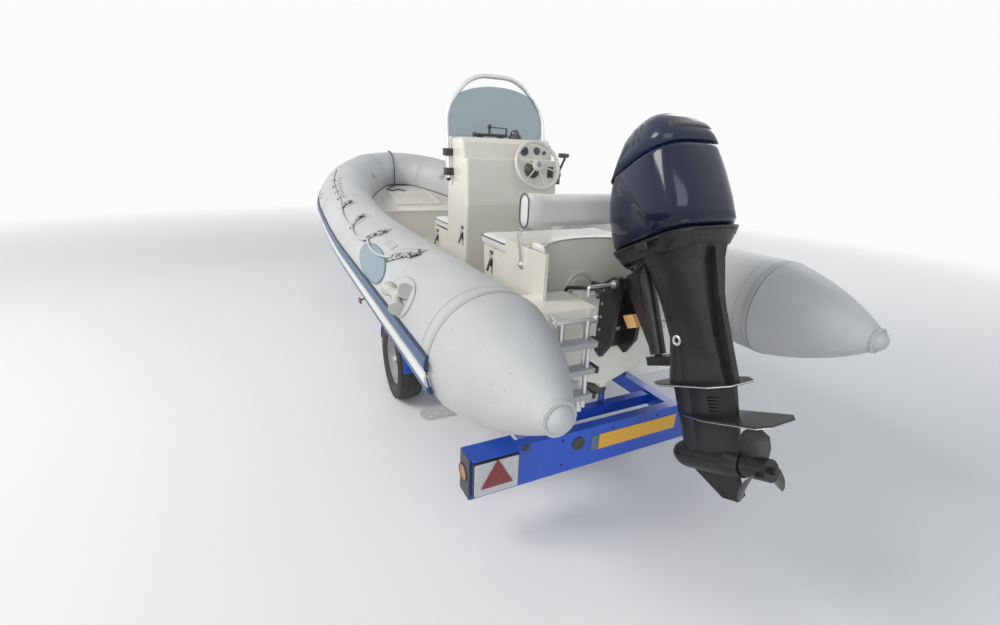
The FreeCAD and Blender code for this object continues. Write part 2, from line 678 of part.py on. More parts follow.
def make_bow_locker():
    """Raised bow deck over a hollow locker, with a hatch in the middle."""
    aft, wall = at.locker_aft, at.locker_wall
    fore = at.bow_x - at.tube_radius - 20
    rise = (at.locker_fore_z - at.locker_aft_z) / (fore - aft)
    low = at.floor_z - 30

    def solid(inset, drop):
        x0, x1 = aft + inset, fore - inset
        top0, top1 = at.locker_aft_z - drop, at.locker_aft_z + rise * (fore - aft) - drop
        side = at.tube_y - 60 - inset
        return prism([(x0, -side, low + inset), (x1, -side, low + inset), (x1, -side, top1),
                      (x0, -side, top0)], (0, 2 * side, 0))
    hull = Part.makeLoft(hull_sections(), True, True)
    locker = solid(0, 0).common(over_hull()).cut(tube_room).cut(hull)
    lid_x = aft + 230
    half = at.locker_lid_width / 2
    mouth = box((lid_x, -half, at.floor_z), (lid_x + at.locker_lid_length, half, at.locker_fore_z + 200))
    hollow = solid(wall, wall)
    room = carry(disc(at.tube_radius + at.seat_gap + wall), 0, 3)
    room = room.fuse(mirrored(carry(disc(at.tube_radius + at.seat_gap + wall), 0, 2)))
    hollow = hollow.cut(room).cut(hull)
    bulkhead = box((aft, -at.tube_y, at.floor_z + at.seat_gap), (aft + wall, at.tube_y, at.bow_z))
    bulkhead = bulkhead.common(Part.makeLoft(hull_sections(30 + at.seat_gap), True, True))
    locker = locker.cut(hollow).cut(mouth).fuse(bulkhead.common(solid(0, 0)).cut(tube_room))
    # The lid lies on the sloping deck, with a rim that reaches past the mouth.
    rim = 26
    length = at.locker_lid_length + 2 * rim
    z = at.locker_aft_z + rise * (lid_x - rim - aft)
    tilt = math.degrees(math.atan(rise))
    place = Placement(Vector(lid_x - rim, 0, z + 0.4), Rotation(Y, -tilt))
    # Hinge ahead of the lid: a barrel on a foot that stands on the deck.
    pin = length + at.hinge_ahead
    up = at.lid_thick / 2
    hinge = fused([box((pin - 3, 50 - half, -5), (pin + 3, half - 50, up)),
                   rod((pin, 50 - half, up), (pin, half - 50, up), at.hinge_radius)])
    hinge.Placement = place
    locker = locker.fuse(hinge)
    feature("bow_locker", max(locker.Solids, key=lambda item: item.Volume))
    lid = new_body("bow_locker_lid")
    width = "locker_lid_width / 2"
    brick(lid, "Additive", ("0", f"-{width} - {rim}", "0"),
          (f"locker_lid_length + {2 * rim}", f"{width} + {rim}", "lid_thick"))
    brick(lid, "Additive", (f"{rim} + 8", f"8 - {width}", "-26"),
          (f"locker_lid_length + {rim} - 8", f"{width} - 8", "0"))
    lid.Placement = place
    keep(lid, "bow_locker_lid", (f"{place.Base.x:.6f}", "0", f"{place.Base.z:.6f}"))


def make_console():
    """Console: a raked moulding with a shelf, a dash above it and an open underside."""
    def profile(inset, low):
        return [(f"console_aft + {inset}", low), (f"console_aft - 40 + {inset}", "helm_z - 250"),
                (f"console_aft - 20 + {inset}", "console_seam_z"),
                (f"console_aft + 40 + {inset}", "console_seam_z + 10"),
                (f"console_aft + 62 + {inset}", "console_top_z - 30"),
                ("console_aft + 100", f"console_top_z - {inset}"),
                ("console_aft + 290", f"console_top_z - {inset}"),
                (f"console_aft + console_depth - 20 - {inset}", "console_seam_z - 40"),
                (f"console_aft + console_depth - {inset}", low)]
    moulding = new_body("console")
    outer = push(moulding, "Pad", outline(moulding, "XZ_Plane", profile("0", "floor_z + seat_gap")),
                 "console_width")
    half, top, floor = at.console_width / 2, at.console_top_z, at.floor_z + at.seat_gap
    round_off(moulding, outer, "console_corner",
              lambda middle: abs(abs(middle.y) - half) < 1 and middle.z > floor + 1)
    push(moulding, "Pocket", outline(moulding, "XZ_Plane", profile("console_wall", "floor_z - 5")),
         "console_width - 2 * console_wall")
    keep(moulding, "console")
    # Dash instruments: a compass dome and the black bracket beside it.
    cx = at.console_aft + 150
    compass = rod((cx, -90, top + at.seat_gap), (cx, -90, top + 24), 42)
    dome = Part.makeCone(38, 16, 30, Vector(cx, -90, top + 24))
    compass = compass.fuse(dome)
    bar = fused([box((cx - 18, 40, top + at.seat_gap), (cx + 18, 90, top + 14)),
                 box((cx - 18, 150, top + at.seat_gap), (cx + 18, 190, top + 14)),
                 rod((cx, 45, top + 12), (cx, 45, top + 60), 6),
                 rod((cx, 175, top + 12), (cx, 175, top + 60), 6),
                 rod((cx, 32, top + 56), (cx, 188, top + 56), 5)])
    feature("dash_instruments", Part.makeCompound([compass, bar]))
    # Throttle: a box on the starboard side, with its lever outboard.
    aft, side, z = at.console_aft, -half - at.seat_gap, at.console_seam_z - 90
    quadrant = box((aft + 10, side - 48, z - 60), (aft + 130, side, z + 50))
    boss = rod((aft + 60, side - 40, z), (aft + 60, side - 70, z), 24)
    arm = rod((aft + 60, side - 58, z), (aft - 30, side - 58, z + 130), 8)
    grip = rod((aft - 30, side - 74, z + 130), (aft - 30, side - 6, z + 130), 13)
    return fused([quadrant, boss, arm, grip])


def make_helm(throttle):
    """Steering wheel: rim, six spokes and hub, drawn flat, then raked on its column."""
    wheel = new_body("helm_wheel")
    rim = wheel.newObject("PartDesign::AdditiveTorus", "Rim")
    tie(rim, "Radius1", "helm_radius - helm_grip")
    tie(rim, "Radius2", "helm_grip")
    spoke = brick(wheel, "Additive", ("20", "-9", "-4"), ("helm_radius - helm_grip", "9", "4"))
    repeat_round(wheel, spoke, "Z_Axis", 6)
    bar(wheel, "Additive", "z", ("0", "0", "-10"), "26", "38")
    bar(wheel, "Additive", "z", ("0", "0", "-40"), "40", "13")
    wheel.Placement = Placement(Vector(0, 0, 0), Rotation(Y * -1, 90 - at.helm_rake))
    tie(wheel, "Placement.Rotation.Angle", "90 - helm_rake")
    keep(wheel, "helm_wheel", ("console_aft - helm_standoff", "helm_y", "helm_z"))
    place = Placement(Vector(at.console_aft - at.helm_standoff, at.helm_y, at.helm_z),
                      Rotation(Y, at.helm_rake - 90))
    column = Part.makeCone(45, 24, 60, Vector(0, 0, -100))
    column = column.fuse(Part.makeCylinder(45, 60, Vector(0, 0, -155))).removeSplitter()
    column = column.cut(Part.makeCylinder(13 + at.seat_gap, 14, Vector(0, 0, -42)))
    column.Placement = place
    column = column.common(box((at.console_aft - 400, -600, 0), (at.console_aft - 28, 600, 3000)))
    feature("helm_controls", Part.makeCompound([column, throttle]))


def make_screen():
    """Stainless hoop with straight legs and an arched top, and the tinted screen inside it."""
    half = at.console_width / 2 + at.hoop_tube + 14
    x, foot, top = at.hoop_x, at.hoop_foot_z, at.hoop_top_z
    lean = 90
    shoulder = top - 210
    points = [(x, half, foot), (x + lean * 0.6, half, shoulder), (x + lean, half - 190, top),
              (x + lean, -half + 190, top), (x + lean * 0.6, -half, shoulder), (x, -half, foot)]
    # Clamps that hold each leg to the console side.
    blocks = []
    for side in (1, -1):
        for z in (foot + 45, foot + 165):
            share = (z - foot) / (shoulder - foot)
            cx = x + lean * 0.6 * share
            y0, y1 = sorted((side * (at.console_width / 2 + at.seat_gap), side * (half + at.hoop_tube + 6)))
            block = box((cx - 24, y0, z - 20), (cx + 24, y1, z + 20))
            blocks.append(block)
    feature("windscreen_hoop", fused([bent_tube(points, at.hoop_tube, at.hoop_bend)] + blocks))
    hoop = bent_tube(points, at.hoop_tube + at.seat_gap, at.hoop_bend)
    inset = half - at.hoop_tube * 0.5
    low = at.console_top_z + at.seat_gap
    plane_x = x + lean * 0.6
    corner, rise = Vector(plane_x, inset, shoulder), Vector(plane_x, 0, top - 75)
    arch = Part.Arc(corner, Vector(plane_x, inset * 0.74, shoulder + (rise.z - shoulder) * 0.68), rise)
    flip = [Vector(plane_x, -inset, shoulder), Vector(plane_x, -inset, low)]
    other = Part.Arc(rise, Vector(plane_x, -inset * 0.74, shoulder + (rise.z - shoulder) * 0.68), flip[0])
    outline = Part.Wire([
        Part.LineSegment(Vector(plane_x, inset, low), corner).toShape(), arch.toShape(), other.toShape(),
        Part.LineSegment(flip[0], flip[1]).toShape(),
        Part.LineSegment(flip[1], Vector(plane_x, inset, low)).toShape()])
    screen = Part.Face(outline).extrude(X * at.screen_thick).cut(hoop)
    feature("windscreen", max(screen.Solids, key=lambda item: item.Volume))


def make_cushion(label, low, high, radius):
    """A pad with every edge rounded."""
    pad = new_body(label)
    round_off(pad, brick(pad, "Additive", low, high), radius, lambda middle: True)
    keep(pad, label)


def make_front_seat():
    """Seat in front of the console: hollow base under a hinged cushion."""
    base = new_body("front_seat_base")
    half = "(console_width / 2 - 10)"
    low = "(floor_z + seat_gap)"
    block = brick(base, "Additive", ("seat_aft", f"-{half}", low),
                  ("seat_aft + seat_depth", half, "seat_top_z"))
    front, side = at.seat_aft + at.seat_depth, at.console_width / 2 - 10
    round_off(base, block, "seat_corner",
              lambda middle: abs(middle.x - front) < 1 and abs(abs(middle.y) - side) < 1)
    brick(base, "Subtractive", ("seat_aft + console_wall", f"console_wall - {half}", f"{low} + console_wall"),
          ("seat_aft + seat_depth - console_wall", f"{half} - console_wall", "seat_top_z + 1"))
    # Hinge leaf on the aft wall, bent over the cushion's rear edge to its barrel.
    pin_z = "seat_top_z + cushion_thick"
    brick(base, "Additive", ("seat_aft", f"60 - {half}", "seat_top_z - 20"),
          ("seat_aft + 3", f"{half} - 60", pin_z))
    brick(base, "Additive", ("seat_aft", f"60 - {half}", f"{pin_z} - 2"),
          ("seat_aft + 8", f"{half} - 60", f"{pin_z} + 2"))
    bar(base, "Additive", "y", ("seat_aft + 8", f"60 - {half}", pin_z), f"2 * {half} - 120", "hinge_radius")
    keep(base, "front_seat_base")
    make_cushion("front_seat_cushion", ("seat_aft + 8", f"4 - {half}", "seat_top_z + seat_gap"),
                 ("seat_aft + seat_depth + 4", f"{half} - 4", "seat_top_z + cushion_thick"), "14")


def make_bench():
    """Helm bench: hollow base with a round recess behind for the motor."""
    half, wall, floor = at.bench_half, at.bench_wall, at.floor_z + at.seat_gap
    aft, fore = at.bench_aft, at.bench_fore
    step = at.bench_step
    outline = [(aft, floor), (fore - 60, floor), (fore, at.bench_top_z), (step, at.bench_top_z),
               (step, at.bench_rear_z), (aft, at.bench_rear_z)]
    side = prism([(x, -half, z) for x, z in outline], (0, 2 * half, 0))
    corner = [edge for edge in side.Edges if abs(edge.CenterOfMass.x - (fore - 30)) < 1
              and abs(abs(edge.CenterOfMass.y) - half) < 1]
    side = side.makeFillet(40, corner)
    recess = Part.makeCylinder(at.recess_radius, 2000, Vector(at.recess_x, 0, 0))
    wide = Part.makeCylinder(at.recess_radius + wall, 2000, Vector(at.recess_x, 0, 0))
    low = at.flat_top + at.seat_gap
    under = box((aft - 10, -2 * half, 0), (at.transom_thick + 60 + at.seat_gap, 2 * half, low))
    base = side.cut(recess).cut(under)
    hollow = prism([(aft + 200, -half + wall, floor + wall), (fore - 60 - wall, -half + wall, floor + wall),
                    (fore - wall, -half + wall, at.bench_top_z - wall),
                    (aft + 200, -half + wall, at.bench_top_z - wall)], (0, 2 * (half - wall), 0)).cut(wide)
    mouth = box((step + 30, -half + 50, at.bench_top_z - 40), (fore - 40, half - 50, at.bench_top_z + 40))
    # Hinge leaf over the cushion's rear edge, with its barrel.
    pin_x, pin_z = step + at.run_gap, at.bench_top_z + at.cushion_thick
    leaf = fused([box((step - 1, 60 - half, pin_z - 2), (pin_x, half - 60, pin_z + 2)),
                  rod((pin_x, 60 - half, pin_z), (pin_x, half - 60, pin_z), at.hinge_radius)])
    feature("bench_base", base.cut(hollow).cut(mouth).fuse(leaf))
    make_cushion("bench_cushion", ("bench_step + run_gap", "-bench_half", "bench_top_z + seat_gap"),
                 ("bench_fore + 24", "bench_half", "bench_top_z + cushion_thick"), "16")
    pad = box((aft + 8, -half + 4, at.bench_rear_z + at.seat_gap),
              (at.arm_foot_x - 70, half - 4, at.bench_rear_z + 34))
    pad = pad.cut(Part.makeCylinder(at.recess_radius + 12, 3000, Vector(at.recess_x, 0, 0)))
    solids = [item for item in pad.Solids if item.Volume > 1000]
    feature("aft_cushion", Part.makeCompound(solids))
    # Backrest: a bolster between two flat stainless arms that pivot on the bench sides.
    bx, bz, ends = at.backrest_x, at.backrest_z, half - 6
    rest_low = ("backrest_x - backrest_thick / 2", "6 - bench_half", "backrest_z - backrest_height / 2")
    rest_high = ("backrest_x + backrest_thick / 2", "bench_half - 6", "backrest_z + backrest_height / 2")
    make_cushion("backrest", rest_low, rest_high, "38")
    arms = []
    for side in (1, -1):
        y0, y1 = sorted((side * (half + at.seat_gap), side * (half + 8)))
        foot = Vector(at.arm_foot_x, y0, at.arm_foot_z)
        arm = prism([(at.arm_foot_x - 14, y0, at.arm_foot_z), (at.arm_foot_x + 14, y0, at.arm_foot_z),
                     (bx + 16, y0, bz), (bx - 16, y0, bz)], (0, y1 - y0, 0))
        arm = arm.fuse(Part.makeCylinder(18, y1 - y0, foot, Y))
        arm = arm.fuse(box((bx - 16, min(side * (ends + at.seat_gap), y0), bz - 40),
                           (bx + 16, max(side * (ends + at.seat_gap), y1), bz)))
        arms.append(arm.removeSplitter())
    feature("backrest_arms", Part.makeCompound(arms))
    hatch_x = at.recess_x + at.recess_radius
    hatch = rod((hatch_x - 8, 0, 1075), (hatch_x + 2 * wall, 0, 1075), 82)
    hatch = hatch.cut(Part.makeCylinder(at.recess_radius - 8, 400, Vector(at.recess_x, 0, 870)))
    hatch = hatch.cut(wide.cut(recess))
    outside = [item for item in hatch.Solids if item.CenterOfMass.x < hatch_x + wall / 2]
    feature("inspection_hatch", outside[0])


def make_clamp_bracket():
    """Transom bracket: two plates hooked over the board, and the tilt tube between them."""
    y0, thick = at.bracket_y, at.bracket_thick
    px, pz = at.pivot_x, at.pivot_z
    back = -at.seat_gap
    front = at.transom_thick + at.seat_gap
    over = at.transom_top + at.seat_gap
    outline = [(px - 30, pz - 18), (px - 12, pz + 28), (px + 22, pz + 28), (back + 4, over + 34),
               (front + 26, over + 30), (front + 26, over - 120), (front, over - 120), (front, over),
               (back, over), (back, over - 300), (px + 55, over - 320), (px - 8, over - 230)]
    parts = []
    for side in (1, -1):
        low = side * y0 if side > 0 else -y0 - thick
        plate = prism([(x, low, z) for x, z in outline], (0, thick, 0))
        screw_y = side * (y0 + thick / 2)
        screw = rod((front + 8, screw_y, over - 80), (front + 62, screw_y, over - 80), 9)
        pad = rod((front + 58, screw_y, over - 80), (front + 66, screw_y, over - 80), 24)
        parts += [plate, screw, pad]
    parts.append(rod((px, -y0 - thick - 10, pz), (px, y0 + thick + 10, pz), at.tilt_tube_radius))
    parts.append(box((back - 16, -y0 - 1, over - 290), (back, y0 + 1, over - 215)))
    feature("clamp_bracket", fused(parts))


def upright():
    """Placement of the motor's own frame: on the tilt tube, leaning by the rest tilt."""
    return Placement(Vector(at.pivot_x, 0, at.pivot_z), Rotation(Y, at.motor_tilt))


def oval(x0, x1, half, z, pinch=0.55):
    """Closed plan outline of the leg: rounded nose, full flanks, narrower tail."""
    nose, tail = x1, x0
    middle = (x0 + x1) / 2
    quarter = (x1 - x0) / 4
    points = [Vector(nose, 0, z), Vector(nose - quarter * 0.4, half * 0.72, z),
              Vector(middle + quarter * 0.4, half, z),
              Vector(middle - quarter, half * 0.92, z), Vector(tail, half * pinch, z)]
    back = [Vector(point.x, -point.y, z) for point in reversed(points[1:])]
    edges = [Part.Arc(points[0], points[1], points[2]).toShape(),
             Part.Arc(points[2], points[3], points[4]).toShape(),
             Part.LineSegment(points[4], back[0]).toShape(),
             Part.Arc(back[0], back[1], back[2]).toShape(),
             Part.Arc(back[2], back[3], points[0]).toShape()]
    return Part.Wire(edges)


def make_motor():
    place = upright()
    sx = at.steer_x
    # Swivel bracket: knuckle on the tilt tube and the long steering housing behind it.
    knuckle = rod((0, -at.bracket_y + at.run_gap, 0), (0, at.bracket_y - at.run_gap, 0), 32)
    housing = rod((sx, 0, -330), (sx, 0, 62), 34)
    web = prism([(0, -26, 28), (sx, -26, 50), (sx, -26, -300), (sx + 20, -26, -300), (0, -26, -28)],
                (0, 52, 0))
    swivel = fused([knuckle, housing, web])
    swivel = swivel.cut(rod((0, -200, 0), (0, 200, 0), at.tilt_tube_radius + at.seat_gap))
    swivel = swivel.cut(rod((sx, 0, -340), (sx, 0, 80), 15 + at.seat_gap))
    feature("swivel_bracket", swivel, place)
    # Leg: king pin and yokes, the drive housing down to the splash plate.
    pin = rod((sx, 0, -372), (sx, 0, 100), 15)
    upper = box((sx - 150, -42, 70), (sx + 36, 42, 104))
    lower = box((sx - 170, -40, -376), (sx + 34, 40, -338))
    sections = [oval(-484, -165, 150, 104), oval(-462, -195, 122, 20), oval(-448, -215, 94, -110),
                oval(-444, -222, 76, -260), oval(-456, -170, 70, -at.splash_drop)]
    housing = Part.makeLoft(sections, True, True)
    splash = prism([(-120, -60, 0), (-120, 60, 0), (-200, 105, 0), (-440, 110, 0), (-500, 60, 0),
                    (-500, -60, 0), (-440, -110, 0), (-200, -105, 0)], (0, 0, 9))
    splash.translate(Vector(0, 0, -at.splash_drop - 9))
    rib = prism([(-430, -13, 60), (-492, -13, 60), (-474, -13, -110), (-480, -13, -at.splash_drop - 4),
                 (-420, -13, -at.splash_drop - 4)], (0, 26, 0))
    clear = rod((sx, 0, -336), (sx, 0, 68), 34 + at.run_gap)
    leg = fused([housing, upper, lower, splash, rib]).cut(clear)
    leg = fused([leg, pin])
    feature("motor_leg", leg, place)
    # Gearcase: strut, anti-ventilation plate, bullet and skeg.
    top, drop = -at.splash_drop - 9.3, at.plate_drop
    strut = Part.makeLoft([oval(-470, -172, 46, top, 0.2), oval(-440, -178, 40, -at.shaft_drop + 20, 0.2)],
                          True, True)
    plate = prism([(-250, -50, 0), (-250, 50, 0), (-380, 92, 0), (-600, 100, 0), (-630, 60, 0),
                   (-630, -60, 0), (-600, -100, 0), (-380, -92, 0)], (0, 0, 8))
    plate.translate(Vector(0, 0, -drop))
    z = -at.shaft_drop
    bullet = Part.Wire([
        Part.Arc(Vector(-112, 0, z), Vector(-140, 0, z + 34), Vector(-215, 0, z + 56)).toShape(),
        Part.LineSegment(Vector(-215, 0, z + 56), Vector(-400, 0, z + 56)).toShape(),
        Part.LineSegment(Vector(-400, 0, z + 56), Vector(-452, 0, z + 46)).toShape(),
        Part.LineSegment(Vector(-452, 0, z + 46), Vector(-452, 0, z)).toShape(),
        Part.LineSegment(Vector(-452, 0, z), Vector(-112, 0, z)).toShape()])
    bullet = Part.Face(bullet).revolve(Vector(0, 0, z), X, 360)
    skeg = prism([(-190, -5, z - 40), (-420, -5, z - 40), (-430, -5, -at.skeg_drop + 30),
                  (-400, -5, -at.skeg_drop), (-330, -5, -at.skeg_drop)], (0, 10, 0))
    shaft = rod((-452, 0, z), (-575, 0, z), 12)
    case = fused([strut, plate, bullet, skeg, shaft])
    for row in range(5):
        low = -drop + 26 + 13 * row
        for side in (1, -1):
            near, far = sorted((side * (at.grille_y - 4), side * 90))
            case = case.cut(box((-448, near, low), (-372, far, low + 6)))
    feature("gearcase", case, place)
    # Propeller: three swept blades on a hub with an open through bore.
    hub = rod((-456, 0, z), (-556, 0, z), 40)
    blades = []
    for turn in range(3):
        blade = blade_shape(at.prop_radius)
        blade.rotate(Vector(0, 0, 0), X, 120 * turn)
        blade.translate(Vector(-506, 0, z))
        blades.append(blade)
    propeller = fused([hub] + blades).cut(rod((-440, 0, z), (-600, 0, z), 12 + at.seat_gap))
    feature("propeller", propeller, place)


def blade_shape(tip):
    """One blade: a thin loft from a pitched root to a flatter, rounded tip."""
    rings = []
    stations = (
        # share of the radius, chord, pitch in degrees
        (0.22, 74, 52), (0.45, 104, 40), (0.72, 112, 30), (0.93, 66, 24), (1.0, 20, 22))
    for share, chord, pitch in stations:
        height = tip * share
        turn = rad(pitch)
        along = Vector(math.sin(turn), math.cos(turn), 0)
        thick = Vector(math.cos(turn), -math.sin(turn), 0) * (1.2 + 3.2 * (1 - share))
        spot = Vector(0, 0, height)
        corners = [spot + along * (chord / 2), spot + thick, spot - along * (chord / 2), spot - thick]
        rings.append(Part.makePolygon(corners + corners[:1]))
    return Part.makeLoft(rings, True, True)


def cowl_section(z, x0, x1, half, corner):
    """Rounded plan outline of the cowl at one height, narrower at the front."""
    return rounded([(x1, half * 0.66), (x0, half), (x0, -half), (x1, -half * 0.66)], corner, z)


def make_cowl():
    """Engine cowl: an upright back, a crown that falls to the front, and a raised cap on it."""
    place = upright()
    seam, high, half, wall = at.cowl_seam, at.cowl_height, at.cowl_half, at.cowl_wall
    levels = (
        # share of the height, aft end, front end, share of the half width
        (0.0, -505, -18, 1.0),
        (0.23, -508, -10, 1.0),
        (0.45, -500, -22, 0.97),
        (0.63, -490, -64, 0.93),
        (0.78, -474, -126, 0.86),
        (0.90, -448, -172, 0.74),
        (0.965, -412, -212, 0.58),
        (1.0, -362, -245, 0.38),
    )

    def mould(inset, top_radius=0):
        rings = [cowl_section(seam + (high - inset) * share, aft + inset, fore - inset, half * wide - inset,
                              at.cowl_corner * wide - inset) for share, aft, fore, wide in levels]
        solid = Part.makeLoft(rings, True, True)
        if top_radius:
            crest = [edge for edge in solid.Edges if edge.CenterOfMass.z > seam + high - inset - 1]
            solid = solid.makeFillet(top_radius, crest)
        return solid
    inner = mould(wall)
    inner.translate(Vector(0, 0, -0.01))
    # Cap: the crown behind a slanting line, raised over the rest.
    above = Part.makeBox(1400, 800, 500, Vector(-700, -400, 0))
    above.Placement = Placement(Vector(-340, 0, seam + high * 0.68), Rotation(Y, 3.5))
    cap = mould(-at.cap_rise, 14).common(above)
    shell = mould(0, 14).fuse(cap)
    # Air inlet across the back of the cap, and two vents on each side of it.
    slots = [box((-540, -at.inlet_half, seam + high * 0.81), (-380, at.inlet_half, seam + high * 0.81 + 24))]
    for side in (1, -1):
        for x in (-348, -314):
            low, far = sorted((side * 40, side * half))
            slots.append(box((x, low, seam + high * 0.80), (x + 14, far, seam + high * 0.95)))
    recesses = fused([slots[0]]).fuse(slots[1:]).cut(mould(at.cowl_wall * 0.4))
    feature("cowl", shell.cut(inner).cut(recesses), place)
    # Lower pan: a tray under the seam, cut clear of the leg.
    rings = [cowl_section(seam - 0.3, -501, -22, half - 2, at.cowl_corner),
             cowl_section(seam - 62, -478, -40, half - 26, at.cowl_corner)]
    pan = Part.makeLoft(rings, True, True)
    leg_room = box((-600, -160, 0), (-30, 160, 104.3))
    feature("cowl_pan", pan.cut(leg_room), place)
    engine = new_body("powerhead")
    brick(engine, "Additive", ("-440", "-100", "cowl_seam"), ("-110", "100", "cowl_seam + 250"))
    keep_leaning(engine, "powerhead")


def make_chock():
    """Wooden block pushed in between the clamp plates, against the swivel bracket's web."""
    block = new_body("tilt_chock")

    def face_x(z):
        return f"seat_gap + 0.1 - (steer_x + 20) / 272 * ({z} + 28)"
    low, high = "chock_low", "chock_low + chock_height"
    corners = [(face_x(low), low), (f"{face_x(low)} + chock_depth", low),
               (f"{face_x(high)} + chock_depth", high), (face_x(high), high)]
    push(block, "Pad", outline(block, "XZ_Plane", corners), "100")
    keep_leaning(block, "tilt_chock")


def ring_eye(spot, turn):
    """A ring on a small plate, its hole across the boat, turned about Y from facing aft."""
    ring = Part.makeTorus(at.eye_radius, at.eye_rod, Vector(0, 0, 0), Y)
    ring.translate(X * (-at.eye_radius - at.eye_rod - 2))
    plate = box((-3, -16, -30), (-at.seat_gap, 16, 30))
    eye = fused([ring, plate])
    if turn:
        eye.rotate(Vector(0, 0, 0), Y, turn)
    eye.translate(spot)
    return eye


def make_ladder():
    """Boarding ladder hinged on the port quarter flat: two stiles and three treads."""
    ladder = new_body("boarding_ladder")
    half = "ladder_width / 2"
    for side in ("+", "-"):
        bar(ladder, "Additive", "z", ("ladder_hinge_x", f"ladder_y {side} ({half} - 55)",
                                      "ladder_hinge_z - ladder_length"), "ladder_length", "13")
    bar(ladder, "Additive", "y", ("ladder_hinge_x", f"ladder_y - {half} + 8", "ladder_hinge_z"),
        "ladder_width - 16", "11")
    tread = brick(ladder, "Additive", ("ladder_hinge_x - 42", f"ladder_y - {half}", "ladder_hinge_z - 115"),
                  ("ladder_hinge_x + 18", f"ladder_y + {half}", "ladder_hinge_z - 91"))
    steps = ladder.newObject("PartDesign::LinearPattern", "Treads")
    steps.Originals = [tread]
    steps.Direction = (origin_item(ladder, "Z_Axis"), [""])
    steps.Reversed = True
    steps.Length = 250
    steps.Occurrences = 3
    ladder.Tip = steps
    keep(ladder, "boarding_ladder")
    hx, hz, mid, half = at.ladder_hinge_x, at.ladder_hinge_z, at.ladder_y, at.ladder_width / 2
    edge = -at.flat_aft
    ears = []
    for side in (1, -1):
        y = mid + side * (half - 20)
        low = min(y, y + side * 8)
        ear = prism([(edge - 0.3, low, hz + 30), (edge - 0.3, low, hz - 36), (hx - 16, low, hz - 16),
                     (hx - 16, low, hz + 16)], (0, 8, 0))
        ears.append(ear.cut(rod((hx, low - 10, hz), (hx, low + 20, hz), 11.4)))
    # Bow eye on the stem for the winch strap, and a towing eye low on each side of the transom.
    eye = ring_eye(bow_eye, 180 + stem_lean)
    # Pad on top of the bow tube with the block that the bow line is spliced to.
    top = Vector(BOW_LINE[0][0], BOW_LINE[0][1], BOW_LINE[0][2])
    foot = rod((top.x + 22, top.y, top.z - 14), (top.x + 22, top.y, top.z - 7.5), 42).cut(tube_room)
    block = box((top.x + at.seat_gap, top.y - 12, top.z - 10), (top.x + 44, top.y + 12, top.z + 12))
    foot = fused([foot, block])
    towing = [ring_eye(Vector(0, side * at.tow_eye_y, at.tow_eye_z), 0) for side in (1, -1)]
    horn = mooring_horn()
    feature("hull_fittings", Part.makeCompound(ears + [eye, foot, horn, mirrored(horn)] + towing))


def mooring_horn():
    """Moulded horn on the side tube: a hub with three flared arms for a mooring line."""
    def spot(x, angle, lift):
        reach, turn = at.tube_radius + lift, rad(angle)
        return Vector(x, at.tube_y + reach * math.cos(turn), at.tube_z + reach * math.sin(turn))
    lean = at.horn_angle
    hub = spot(at.horn_x, lean, -10)
    out = spot(at.horn_x, lean, 24) - hub
    horn = Part.makeCone(36, 24, out.Length, hub, out)
    root = spot(at.horn_x, lean, 6)
    for ahead, turn in ((100, -1), (-75, 9), (-75, -8)):
        arm = spot(at.horn_x + ahead, lean + turn, 16) - root
        horn = horn.fuse(Part.makeCone(15, 22, arm.Length, root, arm))
    return horn.cut(tube_room).removeSplitter()


# Half the clear width between the frame rails.
SPAN = "rail_y - rail_width / 2 - seat_gap"


